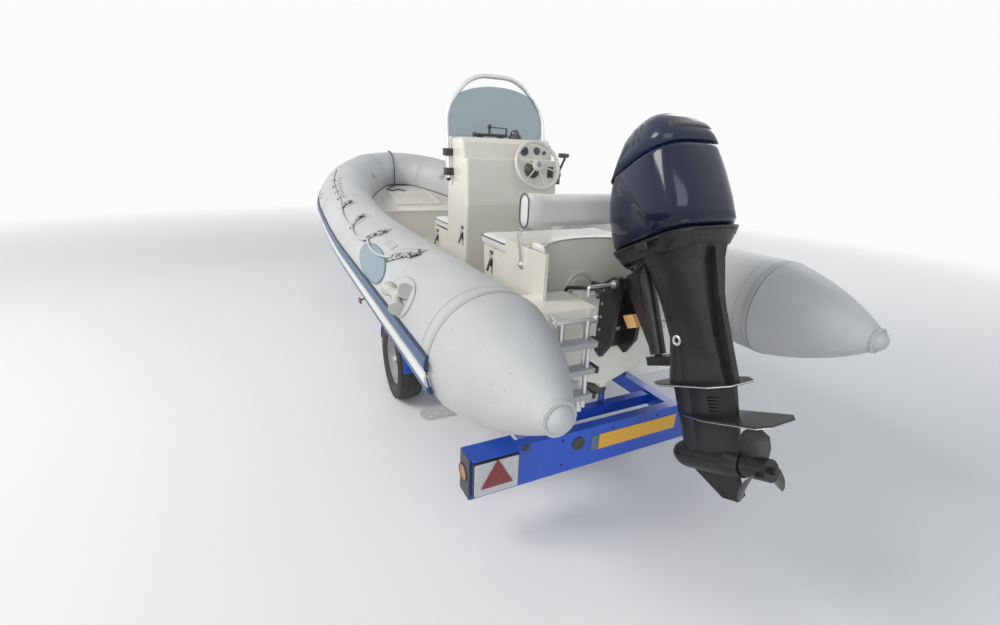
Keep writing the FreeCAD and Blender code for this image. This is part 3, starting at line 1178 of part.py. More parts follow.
def make_trailer():
    """Road trailer: two rails that turn in to a drawbar, cross members, axle and guards."""
    low, ry, wide = at.rail_low, at.rail_y, at.rail_width / 2
    outer = ry + wide
    rail = new_body("frame_rail")
    near, far = "rail_y - rail_width / 2", "rail_y + rail_width / 2"
    plan = outline(rail, "XY_Plane", [
        ("rail_aft", near), ("bend_x", near), ("nose_x", "drawbar_size / 2 + seat_gap"),
        ("nose_x", "drawbar_size / 2 + rail_width + 4"), ("bend_x + 40", far), ("rail_aft", far)])
    push(rail, "Pad", plan, "rail_height")
    tie(rail, "Placement.Base.z", "rail_top - rail_height / 2")
    keep(gathered("frame_rails", [rail, twin(rail)]), "frame_rails")
    drawbar = doc.addObject("Part::Box", "drawbar_box")
    set_box(drawbar, ("bend_x + 500", "-drawbar_size / 2", "rail_low"),
            ("drawbar_end", "drawbar_size / 2", "rail_low + drawbar_size"))
    keep(gathered("drawbar", [drawbar]), "drawbar")
    members = []
    for place in range(4):
        member = doc.addObject("Part::Box", "cross_member")
        near = f"cross_aft + {place} * cross_pitch"
        set_box(member, (near, f"-({SPAN})", "rail_low + 10"),
                (f"{near} + cross_width", SPAN, "rail_top - 10"))
        members.append(member)
    keep(gathered("cross_members", members), "cross_members")
    axle_z = at.tyre_radius
    hub = at.wheel_y - at.tyre_width / 2 - 12
    axle = [box((at.axle_x + 90, -at.rail_y - 40, low - 76), (at.axle_x + 150, at.rail_y + 40, low - 10))]
    for side in (1, -1):
        y0, y1 = sorted((side * (ry - 30), side * (ry + 30)))
        axle.append(box((at.axle_x + 60, y0, low - 20), (at.axle_x + 180, y1, low - at.seat_gap)))
        y0, y1 = sorted((side * (ry + 40), side * (ry + 70)))
        axle.append(prism([(at.axle_x - 30, y0, axle_z - 30), (at.axle_x + 30, y0, axle_z - 38),
                           (at.axle_x + 160, y0, low - 86), (at.axle_x + 160, y0, low - 6),
                           (at.axle_x - 30, y0, axle_z + 34)], (0, y1 - y0, 0)))
        axle.append(rod((at.axle_x, side * (ry + 40), axle_z),
                        (at.axle_x, side * (at.wheel_y + 20), axle_z), 20))
    feature("axle", fused(axle))
    # Mudguards: rolled sheet over each wheel on two stays from the rail.
    y0 = at.wheel_y - at.tyre_width / 2 - 20
    y1 = at.wheel_y + at.tyre_width / 2 - 6
    centre = Vector(at.axle_x, y0, axle_z)
    guard = Part.makeCylinder(at.tyre_radius + 58, y1 - y0, centre, Y)
    guard = guard.cut(Part.makeCylinder(at.tyre_radius + 54, y1 - y0, centre, Y))
    guard = guard.common(box((at.axle_x - 500, 0, axle_z + 40), (at.axle_x + 500, 900, 900)))
    stays = []
    for x in (at.axle_x - at.tyre_radius - 42, at.axle_x + at.tyre_radius + 42):
        stays.append(box((x - 15, outer + at.seat_gap, low + 20), (x + 15, y0 + 1, low + 50)))
        stays.append(box((x - 15, y0, axle_z + 60), (x + 15, y0 + 4, low + 50)))
    feature("mudguards", pair(fused([guard] + stays)))
    # Step plates: perforated treads on brackets behind the port and starboard wheels.
    plate = box((at.step_x - 60, outer + at.seat_gap, low + 40), (at.step_x + 60, at.step_y, low + 44))
    rounded_end = [edge for edge in plate.Edges if abs(edge.CenterOfMass.y - at.step_y) < 1
                   and edge.Length < 5]
    plate = plate.makeFillet(50, rounded_end)
    holes = [rod((at.step_x + dx, at.step_y - dy, low), (at.step_x + dx, at.step_y - dy, low + 80), 9)
             for dx, dy in ((-24, 45), (24, 45), (0, 85), (-24, 125), (24, 125))]
    foot = box((at.step_x - 60, outer + at.seat_gap, low + 10), (at.step_x + 60, outer + 4, low + 42))
    feature("step_plates", pair(fused([plate.cut(Part.makeCompound(holes)), foot])))


def make_wheels():
    """Port tyre and rim about their own middle, and their images to starboard."""
    tyre = new_body("port_tyre")
    half = "tyre_width / 2"
    corners = [
        (f"22 - {half}", "rim_radius + 1"), (f"{half} - 22", "rim_radius + 1"), (half, "rim_radius + 22"),
        (f"{half} - 6", "tyre_radius - 22"), (f"{half} - 28", "tyre_radius - 3"),
        (f"28 - {half}", "tyre_radius - 3"), (f"6 - {half}", "tyre_radius - 22"),
        (f"-{half}", "rim_radius + 22")]
    section = outline(tyre, "YZ_Plane", corners, {2: "tyre_side", 3: "tyre_shoulder", 4: "tyre_crown",
                                                  5: "tyre_shoulder", 6: "tyre_side"})
    spin = tyre.newObject("PartDesign::Revolution", "Revolution")
    spin.Profile = section
    spin.ReferenceAxis = (origin_item(tyre, "Y_Axis"), [""])
    spin.Angle = 360
    place = ("axle_x", "wheel_y", "tyre_radius")
    keep_twin(keep(tyre, "port_tyre", place), "starboard_tyre")
    # Rim: a channel under the tyre, a disc with ten holes and a hub with the axle's bore.
    rim = new_body("port_rim")
    bar(rim, "Additive", "y", ("0", f"20 - {half}", "0"), "tyre_width - 40", "rim_radius + 0.5")
    bar(rim, "Subtractive", "y", ("0", f"-{half}", "0"), "tyre_width", "rim_radius - 14")
    bar(rim, "Additive", "y", ("0", "8", "0"), "8", "rim_radius - 13")
    bar(rim, "Additive", "y", ("0", "-32", "0"), "60", "46")
    bar(rim, "Subtractive", "y", ("0", "-34", "0"), "54", "20.5")
    hole = bar(rim, "Subtractive", "y", ("rim_radius - 60", "-10", "0"), "40", "15")
    repeat_round(rim, hole, "Y_Axis", 10)
    keep_twin(keep(rim, "port_rim", place), "starboard_rim")


def make_light_board():
    """Folded steel board across the stern with a lamp at each end."""
    x, low, high, half = at.board_x, at.board_low, at.board_high, at.board_half
    inner = half - at.lamp_width
    board = [box((x + 6, -half + 6, low), (x + 9, half - 6, high)),
             box((x + 6, -inner, high - 3), (x + 60, inner, high)),
             box((x + 6, -inner, low), (x + 40, inner, low + 3))]
    top = at.rail_top - at.rail_height
    arms = [box((x + 9, side * at.rail_y - 28, top),
                (at.rail_aft - at.seat_gap, side * at.rail_y + 28, at.rail_top)) for side in (1, -1)]
    hoods = []
    for side in (1, -1):
        y0, y1 = sorted((side * inner, side * half))
        hood = box((x + 9, y0, low), (x + at.lamp_depth, y1, high))
        hood = hood.cut(box((x + 12, y0 + 4, low - 5), (x + at.lamp_depth + 5, y1 - 4, high - 4)))
        hoods.append(hood)
    feature("light_board", fused(board + arms + hoods))
    lamp = new_body("tail_lamp")
    case = brick(lamp, "Additive", ("board_x - 22", "board_half - lamp_width + 12", "board_low + 24"),
                 ("board_x + 6 - seat_gap", "board_half - 10", "board_high - 16"))
    round_off(lamp, case, "10", lambda middle: abs(middle.x - (x - 22)) < 1)
    keep(gathered("tail_lamps", [lamp, twin(lamp)]), "tail_lamps")


def make_front():
    """Coupling head, jockey wheel and winch post on the drawbar."""
    low = at.rail_top - at.rail_height
    beam = at.drawbar_size / 2
    mid = low + beam
    head = fused([
        box((at.drawbar_end - 120, -beam - 6, low - 6),
            (at.drawbar_end + 10, beam + 6, low + at.drawbar_size + 6)),
        prism([(at.drawbar_end + 5, -40, mid - 30), (at.ball_x + 44, -40, mid - 30),
               (at.ball_x + 44, -40, mid + 10),
               (at.ball_x - 10, -40, mid + 46), (at.drawbar_end + 5, -40, mid + 46)], (0, 80, 0)),
        rod((at.ball_x - 20, 0, mid + 62), (at.drawbar_end - 90, 0, mid + 74), 12),
        box((at.ball_x - 44, -10, mid + 30), (at.ball_x - 14, 10, mid + 66))])
    head = head.cut(box((at.drawbar_end - 130, -beam - 0.3, low - 0.3),
                        (at.drawbar_end + 0.3, beam + 0.3, low + at.drawbar_size + 0.3)))
    ball = Part.makeSphere(at.ball_diameter / 2, Vector(at.ball_x, 0, mid - 8))
    socket = ball.fuse(rod((at.ball_x, 0, mid - 60), (at.ball_x, 0, mid - 8), at.ball_diameter / 2))
    feature("coupling_head", head.cut(socket))
    jx, jy, radius = at.jockey_x, at.jockey_y, at.jockey_radius
    clamp = box((jx - 35, beam + at.seat_gap, low + 8), (jx + 35, jy + 36, low + 72))
    column = rod((jx, jy, 2 * radius + 46), (jx, jy, 760), 24)
    stem, stem_top = 18, 2 * radius + 106
    handle = [rod((jx, jy, 760), (jx, jy, 792), 9), box((jx - 10, jy - 10, 784), (jx + 110, jy + 10, 796)),
              rod((jx + 100, jy, 790), (jx + 100, jy, 850), 11)]
    bore = rod((jx, jy, 2 * radius), (jx, jy, stem_top + at.seat_gap), stem + at.seat_gap)
    feature("jockey_column", fused([clamp, column] + handle).cut(bore))
    half = at.jockey_width / 2
    fork_x = jx - at.jockey_trail
    top = 2 * radius + 14
    fork = [box((jx - 62, jy - half - 12, top), (jx + 26, jy + half + 12, top + 12)),
            rod((jx, jy, top + 10), (jx, jy, stem_top), stem)]
    for side in (1, -1):
        y0, y1 = sorted((jy + side * (half + 6), jy + side * (half + 12)))
        fork.append(prism([(fork_x - 16, y0, radius - 18), (fork_x + 16, y0, radius - 18),
                           (jx + 26, y0, top + 2), (jx - 62, y0, top + 2)], (0, y1 - y0, 0)))
    fork.append(rod((fork_x, jy - half - 8, radius), (fork_x, jy + half + 8, radius), 8))
    feature("jockey_fork", fused(fork))
    wheel = new_body("jockey_wheel")
    drum = bar(wheel, "Additive", "y", ("0", "-jockey_width / 2", "0"), "jockey_width", "jockey_radius")
    round_off(wheel, drum, "12", lambda middle: abs(abs(middle.y) - half) < 1)
    bar(wheel, "Subtractive", "y", ("0", "-50", "0"), "100", "8.4")
    keep(wheel, "jockey_wheel", ("jockey_x - jockey_trail", "jockey_y", "jockey_radius"))
    make_winch(low + at.drawbar_size)


def make_winch(deck):
    """Winch post with its snubber arm, the winch on top and the strap to the bow eye."""
    px, top_z = at.post_x, at.post_top_z
    snub = stem_low + stem_way * ((stem_high - stem_low).Length - 165)
    snub += stem_out * (at.snubber_radius + at.seat_gap)
    post = [box((px - 60, -45, deck + at.seat_gap), (px + 60, 45, deck + 8)),
            prism([(px - 40, -30, deck + 6), (px + 40, -30, deck + 6), (px + 35, -30, top_z),
                   (px - 45, -30, top_z)], (0, 60, 0)),
            box((px - 75, -70, top_z - 8), (px + 75, 70, top_z))]
    for side in (1, -1):
        y0, y1 = sorted((side * 24, side * 30))
        post.append(prism([(px - 40, y0, top_z - 150), (px - 40, y0, top_z - 70),
                           (snub.x - 16, y0, snub.z + 14), (snub.x + 16, y0, snub.z - 20)], (0, y1 - y0, 0)))
    pin = 8
    post.append(rod((snub.x, -30, snub.z), (snub.x, 30, snub.z), pin))
    feature("winch_post", fused(post))
    snubber = rod((snub.x, -21, snub.z), (snub.x, 21, snub.z), at.snubber_radius)
    feature("bow_snubber", snubber.cut(rod((snub.x, -40, snub.z), (snub.x, 40, snub.z), pin + at.seat_gap)))
    drum = Vector(px + 5, 0, top_z + 62)
    winch = fused([box((drum.x - 50, -64, top_z + at.seat_gap), (drum.x + 50, -58, top_z + 110)),
                   box((drum.x - 50, 58, top_z + at.seat_gap), (drum.x + 50, 64, top_z + 110)),
                   box((drum.x - 50, -64, top_z + at.seat_gap), (drum.x + 50, 64, top_z + 6)),
                   rod((drum.x, -60, drum.z), (drum.x, 60, drum.z), at.drum_radius),
                   rod((drum.x, 60, drum.z), (drum.x, 84, drum.z), 10),
                   box((drum.x - 8, 76, drum.z - 8), (drum.x + 190, 84, drum.z + 8)),
                   rod((drum.x + 180, 84, drum.z), (drum.x + 180, 170, drum.z), 13)])
    feature("winch", winch)
    # Strap: wound on the drum, then straight to a hook in the bow eye.
    inner, wound = at.drum_radius + at.seat_gap, at.drum_radius + 9
    half = at.strap_width / 2
    coil = rod((drum.x, -half, drum.z), (drum.x, half, drum.z), wound)
    coil = coil.cut(rod((drum.x, -half, drum.z), (drum.x, half, drum.z), inner))
    ring = bow_eye + stem_out * (at.eye_radius + at.eye_rod + 2)
    reach = Vector(drum.x, 0, drum.z) - ring
    turn = math.atan2(reach.z, reach.x) + math.asin(wound / reach.Length)
    way = Vector(math.cos(turn), 0, math.sin(turn))
    out = Vector(-way.z, 0, way.x)
    near, far = ring + way * 34, Vector(drum.x, 0, drum.z) + out * wound
    run = prism([near + Y * -half, far + Y * -half, far + Y * -half - out * 3, near + Y * -half - out * 3],
                (0, 2 * half, 0))
    hook = [rod(ring + Y * -half, ring + Y * half, 4)]
    for side in (1, -1):
        y = side * (half - 3)
        hook.append(rod(ring + Y * y, near + way * 8 + Y * y - out * 1.5, 4))
    feature("winch_strap", fused([coil, run] + hook))


def make_rollers():
    """Keel rollers on their brackets, and the sloping side bunks."""
    deck, keel = at.rail_top - 10, at.keel_z - 14
    rollers, brackets = [], []
    for place in range(3):
        spot = (f"cross_aft + cross_width / 2 + {place} * cross_pitch", "-60",
                "keel_z - 14 - roller_radius - seat_gap")
        drum = doc.addObject("Part::Cylinder", "roller_drum")
        set_bar(drum, "y", spot, "120", "roller_radius")
        bore = doc.addObject("Part::Cylinder", "roller_bore")
        set_bar(bore, "y", spot, "120", "10.3")
        rollers.append(taken("keel_roller", drum, bore))
        x, z = number(spot[0]), number(spot[2])
        for side in (1, -1):
            y0, y1 = sorted((side * 66, side * 74))
            brackets.append(prism([(x - 25, y0, deck + at.seat_gap), (x + 25, y0, deck + at.seat_gap),
                                   (x + 14, y0, z + 14), (x - 14, y0, z + 14)], (0, y1 - y0, 0)))
        brackets.append(rod((x, -74, z), (x, 74, z), 10))
    keep(gathered("keel_rollers", rollers), "keel_rollers")
    feature("roller_brackets", fused(brackets))
    rise = (at.chine_z - at.keel_z) / at.chine_y
    slope_angle = math.degrees(math.atan(rise))
    y = at.rail_y - 12
    z = at.keel_z + y * rise
    pad = box((0, -55, -40), (1500, 55, -1))
    pad.rotate(Vector(0, 0, 0), X, slope_angle)
    pad.translate(Vector(150, y, z - 12))
    posts = [box((x - 20, y - 20, at.rail_top + at.seat_gap), (x + 20, y + 20, z - 40)) for x in (330, 1470)]
    feature("hull_bunks", pair(fused([pad] + posts)))


def make_tube_fittings():
    """Grab line along the outer top of each side tube, with the fittings that hold it."""
    radius, rope = at.tube_radius, at.rope_radius
    lean = rad(58)
    y = at.tube_y + (radius + rope + 1) * math.cos(lean)
    z = at.tube_z + (radius + rope + 1) * math.sin(lean)
    spots = (560, 960, 1360)
    line = [rod((spots[0], y, z), (at.rise_start, y, z), rope)]
    reach = Vector(0, (radius + rope + 1) * math.cos(lean), (radius + rope + 1) * math.sin(lean))
    start = Vector(at.cone_seam_x, at.tube_y, at.tube_z) + reach
    line.append(carry(Part.Face(Part.Wire(Part.makeCircle(rope, start, X))), 1, 2))
    pads = []
    for x in spots:
        pad = Part.makeCylinder(34, 7, Vector(x, at.tube_y + (radius + 0.3) * math.cos(lean),
                                              at.tube_z + (radius + 0.3) * math.sin(lean)),
                                Vector(0, math.cos(lean), math.sin(lean)))
        pads.append(pad.cut(tube_room))
    feature("lifelines", pair(fused(line + pads)))
    feature("bow_line", bent_tube(BOW_LINE, at.bow_line_radius, 34))


make_tubes()
make_strakes()
make_hull()
make_stern_flats()
make_bow_locker()
make_helm(make_console())
make_screen()
make_front_seat()
make_bench()
make_clamp_bracket()
make_motor()
make_cowl()
make_chock()
make_ladder()
make_trailer()
make_wheels()
make_light_board()
make_front()
make_rollers()
make_tube_fittings()

doc.recompute()
for obj in doc.Objects:
    if "Invalid" in obj.State or "Error" in obj.State:
        raise RuntimeError(f"{obj.Label} failed: {obj.State}")
os.makedirs("parts", exist_ok=True)
for obj in NODES:
    if obj.Shape.isNull() or not obj.Shape.isValid():
        raise RuntimeError(f"{obj.Label} has no valid shape")
    obj.Shape.exportStep(f"parts/{obj.Label}.step")
    corner = obj.Shape.BoundBox
    print(f"{obj.Label:22s} {len(obj.Shape.Solids):2d} solids {obj.Shape.Volume / 1e6:9.2f} l  "
          f"x {corner.XMin:8.1f} {corner.XMax:8.1f}  y {corner.YMin:7.1f} {corner.YMax:7.1f}  "
          f"z {corner.ZMin:7.1f} {corner.ZMax:7.1f}")
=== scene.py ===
"""Looks for a rigid inflatable boat with its outboard motor, standing on a road trailer.

Metres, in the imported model's own frame: +X to the bow, +Y to port, +Z up. Places along the boat
are measured from the rear face of the transom, and places on the inflated tube by the distance
along its centre line from the stern cone's seam and by the angle up from its outboard side.
"""

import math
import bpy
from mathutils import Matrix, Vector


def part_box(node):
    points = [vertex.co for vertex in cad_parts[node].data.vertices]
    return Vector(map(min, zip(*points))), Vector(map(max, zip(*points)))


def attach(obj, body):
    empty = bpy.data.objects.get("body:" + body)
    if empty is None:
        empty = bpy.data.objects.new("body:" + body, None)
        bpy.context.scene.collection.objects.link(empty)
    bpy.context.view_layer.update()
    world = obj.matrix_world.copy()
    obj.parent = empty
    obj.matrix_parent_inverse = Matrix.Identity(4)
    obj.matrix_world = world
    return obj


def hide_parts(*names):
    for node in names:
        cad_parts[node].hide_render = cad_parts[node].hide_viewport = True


bl_info = {
    "name": "Rib Boat Looks",
    "version": (1, 0, 0),
    "blender": (4, 5, 0),
    "location": "View3D > Sidebar > Rib Boat",
    "description": "Dresses the packed rib boat, its motor and its trailer",
    "category": "Object",
}

import bmesh
import bpy
from bpy.props import FloatProperty, FloatVectorProperty, PointerProperty
from mathutils import Matrix, Vector

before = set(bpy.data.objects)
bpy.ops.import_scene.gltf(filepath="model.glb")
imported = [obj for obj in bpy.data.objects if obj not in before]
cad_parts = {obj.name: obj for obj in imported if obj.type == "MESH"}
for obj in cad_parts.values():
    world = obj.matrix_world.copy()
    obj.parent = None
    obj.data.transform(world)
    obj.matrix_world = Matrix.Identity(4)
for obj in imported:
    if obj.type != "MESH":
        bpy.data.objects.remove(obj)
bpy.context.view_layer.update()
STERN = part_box("transom")[0].x
X, Y, Z = Vector((1, 0, 0)), Vector((0, 1, 0)), Vector((0, 0, 1))


def at(x, y, z):
    """A point given from the transom, the middle line and the ground."""
    return Vector((STERN + x, y, z))


# Sizes and colours


def size(name, default, description):
    return FloatProperty(name=name, default=default, description=description, unit="LENGTH")


def angle(name, degrees, description):
    return FloatProperty(name=name, default=math.radians(degrees), description=description, subtype="ANGLE")


def colour(name, default, description):
    return FloatVectorProperty(name=name, default=default, description=description,
                               subtype="COLOR", size=3, min=0, max=1)


class TubeSettings(bpy.types.PropertyGroup):
    radius: size("Tube radius", 0.240, "Outside radius of the inflated tube")
    half_beam: size("Half beam", 0.793, "Middle line to the centre of the straight tube")
    height: size("Height", 1.052, "Ground to the centre of the straight tube")
    seam: size("Cone seam", -0.322, "Transom to the seam of the stern cone")
    rise_start: size("Rise start", 1.500, "Where the tubes begin to rise")
    rise_radius: size("Rise radius", 7.300, "Radius of the upward bend")
    rise_angle: angle("Rise", 10, "Slope of the forward tubes")
    bow_reach: size("Bow reach", 1.527, "Length along the slope from the bend to the bow")
    sweep: angle("Sweep", 35, "Turn of the side sweep")
    cone_length: size("Cone length", 0.432, "Seam to the cap ring of the stern cone")
    cap_radius: size("Cap radius", 0.050, "Radius of the cone's end cap")
    fabric: colour("Tube fabric", (0.57, 0.58, 0.59), "Coated fabric of the tubes")
    blue: colour("Strake blue", (0.020, 0.075, 0.180), "Blue beads of the rub strake")
    white: colour("Strake white", (0.68, 0.69, 0.68), "White bead of the rub strake")


class DeckSettings(bpy.types.PropertyGroup):
    gelcoat: colour("Gelcoat", (0.78, 0.755, 0.68), "Mouldings of the console, seats and hull")
    vinyl: colour("Vinyl", (0.76, 0.755, 0.73), "Cushion covers")
    piping: colour("Piping", (0.03, 0.035, 0.06), "Piping round the cushions")
    puff: size("Cushion puff", 0.007, "Most that a cushion's cover may swell")


class MotorSettings(bpy.types.PropertyGroup):
    pivot_x: size("Tilt tube behind transom", -0.100, "Tilt tube, from the transom")
    pivot_z: size("Tilt tube height", 1.200, "Tilt tube above the ground")
    tilt: angle("Rest tilt", 24, "Tilt at rest")
    cowl: colour("Cowl", (0.003, 0.006, 0.020), "Gloss paint of the cowl")
    leg: colour("Leg", (0.012, 0.013, 0.015), "Satin paint of the leg")


class TrailerSettings(bpy.types.PropertyGroup):
    blue: colour("Trailer blue", (0.004, 0.085, 0.60), "Painted steel of the trailer")
    plate: colour("Plate", (0.80, 0.42, 0.02), "Reflective sheet of the number plate")


class StageSettings(bpy.types.PropertyGroup):
    floor: colour("Floor", (0.86, 0.86, 0.86), "Studio floor")
    camera_x: size("Camera behind transom", -1.695, "Camera, from the transom")
    camera_y: size("Camera to port", 1.458, "Camera, from the middle line")
    camera_z: size("Camera height", 1.753, "Camera above the ground")
    yaw: angle("Yaw", 26.568, "Turn of the view to starboard of the bow")
    pitch: angle("Pitch", 19.177, "Tilt of the view under the horizon")
    roll: angle("Roll", 2.293, "Roll of the camera")
    lens: FloatProperty(name="Lens", default=16.87, subtype="DISTANCE_CAMERA",
                        description="Focal length on a 36 mm sensor, in millimetres")


def shade(base, share):
    """A colour made darker by a share."""
    return tuple(share * part for part in base)


# Shader node groups

VECTOR_IN = ("Vector", "NodeSocketVector", (0, 0, 0))


def node_group(name, inputs, outputs):
    """A shader group with named sockets. Returns the tree, its input node and its output node."""
    tree = bpy.data.node_groups.new(name, "ShaderNodeTree")
    for label, kind, value in inputs:
        socket = tree.interface.new_socket(label, in_out="INPUT", socket_type=kind)
        socket.default_value = value
    for label, kind in outputs:
        tree.interface.new_socket(label, in_out="OUTPUT", socket_type=kind)
    return tree, tree.nodes.new("NodeGroupInput"), tree.nodes.new("NodeGroupOutput")


def dial(node, **values):
    """Set inputs of a node by name, with _ for a space."""
    for label, value in values.items():
        node.inputs[label.replace("_", " ")].default_value = value


def feed(tree, socket, value):
    """Link another socket to this one, or set its number or colour."""
    if isinstance(value, bpy.types.NodeSocket):
        tree.links.new(value, socket)
    elif isinstance(value, (int, float)):
        socket.default_value = value
    else:
        socket.default_value = tuple(value)[:3] + (1,)


def noise(tree, scale, detail, vector):
    node = tree.nodes.new("ShaderNodeTexNoise")
    dial(node, Detail=detail)
    feed(tree, node.inputs["Scale"], scale)
    tree.links.new(vector, node.inputs["Vector"])
    return node.outputs["Fac"]


def maths(tree, operation, first, second, clamp=False):
    node = tree.nodes.new("ShaderNodeMath")
    node.operation = operation
    node.use_clamp = clamp
    feed(tree, node.inputs[0], first)
    feed(tree, node.inputs[1], second)
    return node.outputs[0]


def spread(tree, value, low, high):
    """Stretch the range low to high of a value over 0 to 1."""
    node = tree.nodes.new("ShaderNodeMapRange")
    dial(node, From_Min=low, From_Max=high)
    tree.links.new(value, node.inputs["Value"])
    return node.outputs["Result"]


def mixed(tree, factor, first, second):
    node = tree.nodes.new("ShaderNodeMix")
    node.data_type = "RGBA"
    sockets = {item.identifier: item for item in node.inputs}
    feed(tree, sockets["Factor_Float"], factor)
    feed(tree, sockets["A_Color"], first)
    feed(tree, sockets["B_Color"], second)
    return [item for item in node.outputs if item.identifier == "Result_Color"][0]


def cells(tree, scale, vector):
    """Round cells. Returns the texture node."""
    node = tree.nodes.new("ShaderNodeTexVoronoi")
    feed(tree, node.inputs["Scale"], scale)
    tree.links.new(vector, node.inputs["Vector"])
    return node


def relief(tree, height, distance):
    """A bump from a height. Returns the node."""
    bump = tree.nodes.new("ShaderNodeBump")
    dial(bump, Distance=distance)
    tree.links.new(height, bump.inputs["Height"])
    return bump


def build_dust_group():
    """Road film and handling marks: large soft patches broken up by small ones."""
    tree, inside, out = node_group(
        "Dust Film",
        [VECTOR_IN, ("Color", "NodeSocketColor", (1, 1, 1, 1)),
         ("Dust Color", "NodeSocketColor", (0.3, 0.28, 0.25, 1)), ("Amount", "NodeSocketFloat", 0.2),
         ("Roughness", "NodeSocketFloat", 0.4)],
        [("Color", "NodeSocketColor"), ("Roughness", "NodeSocketFloat")])
    broad = noise(tree, 1.7, 5, inside.outputs["Vector"])
    fine = noise(tree, 46.0, 6, inside.outputs["Vector"])
    patches = spread(tree, broad, 0.36, 0.72)
    specks = spread(tree, fine, 0.35, 0.75)
    film = maths(tree, "MULTIPLY", maths(tree, "ADD", patches, maths(tree, "MULTIPLY", specks, 0.6)),
                 inside.outputs["Amount"], clamp=True)
    tree.links.new(mixed(tree, film, inside.outputs["Color"], inside.outputs["Dust Color"]),
                   out.inputs["Color"])
    rough = maths(tree, "ADD", inside.outputs["Roughness"], maths(tree, "MULTIPLY", film, 0.35), clamp=True)
    tree.links.new(rough, out.inputs["Roughness"])


def build_grain_group():
    """Fine surface relief, a mix of round pores and soft noise."""
    tree, inside, out = node_group(
        "Surface Grain",
        [VECTOR_IN, ("Scale", "NodeSocketFloat", 400.0),
         ("Pores", "NodeSocketFloat", 0.5)],
        [("Height", "NodeSocketFloat")])
    soft = noise(tree, inside.outputs["Scale"], 3, inside.outputs["Vector"])
    pores = cells(tree, inside.outputs["Scale"], inside.outputs["Vector"])
    weighed = maths(tree, "MULTIPLY", pores.outputs["Distance"], inside.outputs["Pores"])
    tree.links.new(maths(tree, "ADD", soft, weighed), out.inputs["Height"])


def build_scratch_group():
    """Long thin scratches along X and short ones across."""
    tree, inside, out = node_group(
        "Scratches",
        [VECTOR_IN, ("Scale", "NodeSocketFloat", 30.0)],
        [("Mask", "NodeSocketFloat")])
    masks = []
    for stretch in ((1.0, 24.0, 24.0), (20.0, 1.5, 9.0)):
        mapping = tree.nodes.new("ShaderNodeMapping")
        dial(mapping, Scale=stretch)
        tree.links.new(inside.outputs["Vector"], mapping.inputs["Vector"])
        streaks = noise(tree, inside.outputs["Scale"], 2, mapping.outputs["Vector"])
        masks.append(spread(tree, streaks, 0.66, 0.74))
    tree.links.new(maths(tree, "ADD", masks[0], masks[1], clamp=True), out.inputs["Mask"])


def build_beads_group():
    """Rain drops standing on a surface: sparse round beads of mixed size."""
    tree, inside, out = node_group(
        "Rain Beads",
        [VECTOR_IN, ("Scale", "NodeSocketFloat", 60.0)],
        [("Height", "NodeSocketFloat")])
    drops = cells(tree, inside.outputs["Scale"], inside.outputs["Vector"])
    split = tree.nodes.new("ShaderNodeSeparateColor")
    tree.links.new(drops.outputs["Color"], split.inputs["Color"])
    chosen = spread(tree, split.outputs["Red"], 0.90, 0.94)
    dome = spread(tree, drops.outputs["Distance"], 0.30, 0.12)
    tree.links.new(maths(tree, "MULTIPLY", chosen, dome, clamp=True), out.inputs["Height"])


# Materials


def place_group(tree, group, **values):
    node = tree.nodes.new("ShaderNodeGroup")
    node.node_tree = bpy.data.node_groups[group]
    for label, value in values.items():
        feed(tree, node.inputs[label.replace("_", " ")], value)
    return node


GRAIN_STRENGTH = 0.6
COAT_ROUGHNESS = 0.06


def finish(name, base, roughness, metallic=0.0, coat=0.0, grain=(500.0, 0.0003), pores=0.4,
           dust=0.12, dust_colour=(0.32, 0.30, 0.27), scratches=0.0, second=None, mottle=0.0,
           alpha=1.0, sheen=0.0):
    """A material with road film, scratches and a grain of (scale, depth). second is its mottling."""
    material = bpy.data.materials.new(name)
    material.use_nodes = True
    tree = material.node_tree
    shader = tree.nodes["Principled BSDF"]
    spot = tree.nodes.new("ShaderNodeTexCoord").outputs["Object"]
    colour_in = tuple(base) + (1,)
    if second is not None:
        cloud = spread(tree, noise(tree, mottle, 5, spot), 0.38, 0.66)
        colour_in = mixed(tree, cloud, base, second)
    film = place_group(tree, "Dust Film", Vector=spot, Color=colour_in, Dust_Color=dust_colour,
                       Amount=dust, Roughness=roughness)
    base_colour, rough = film.outputs["Color"], film.outputs["Roughness"]
    if scratches:
        marks = place_group(tree, "Scratches", Vector=spot, Scale=26.0)
        worn = maths(tree, "MULTIPLY", marks.outputs["Mask"], scratches)
        pale = tuple(0.35 + 0.5 * part for part in base)
        base_colour = mixed(tree, worn, base_colour, pale)
    tree.links.new(base_colour, shader.inputs["Base Color"])
    tree.links.new(rough, shader.inputs["Roughness"])
    dial(shader, Metallic=metallic, Coat_Weight=coat, Coat_Roughness=COAT_ROUGHNESS, Sheen_Weight=sheen,
         Alpha=alpha)
    fine = place_group(tree, "Surface Grain", Vector=spot, Scale=grain[0], Pores=pores)
    bump = relief(tree, fine.outputs["Height"], grain[1])
    dial(bump, Strength=GRAIN_STRENGTH)
    tree.links.new(bump.outputs["Normal"], shader.inputs["Normal"])
    return material


def extra_bump(material, height, distance):
    """Put one more relief under those that the material has."""
    tree = material.node_tree
    last = [node for node in tree.nodes if node.type == "BUMP" and not node.inputs["Normal"].is_linked][0]
    tree.links.new(relief(tree, height, distance).outputs["Normal"], last.inputs["Normal"])


def recolour(material, colour_out):
    """Put another colour under the material's road film."""
    tree = material.node_tree
    film = [node for node in tree.nodes if node.type == "GROUP" and node.node_tree.name == "Dust Film"][0]
    tree.links.new(colour_out, film.inputs["Color"])


def insides(material):
    """A material's tree and its object coordinates."""
    tree = material.node_tree
    return tree, [node for node in tree.nodes if node.type == "TEX_COORD"][0].outputs["Object"]


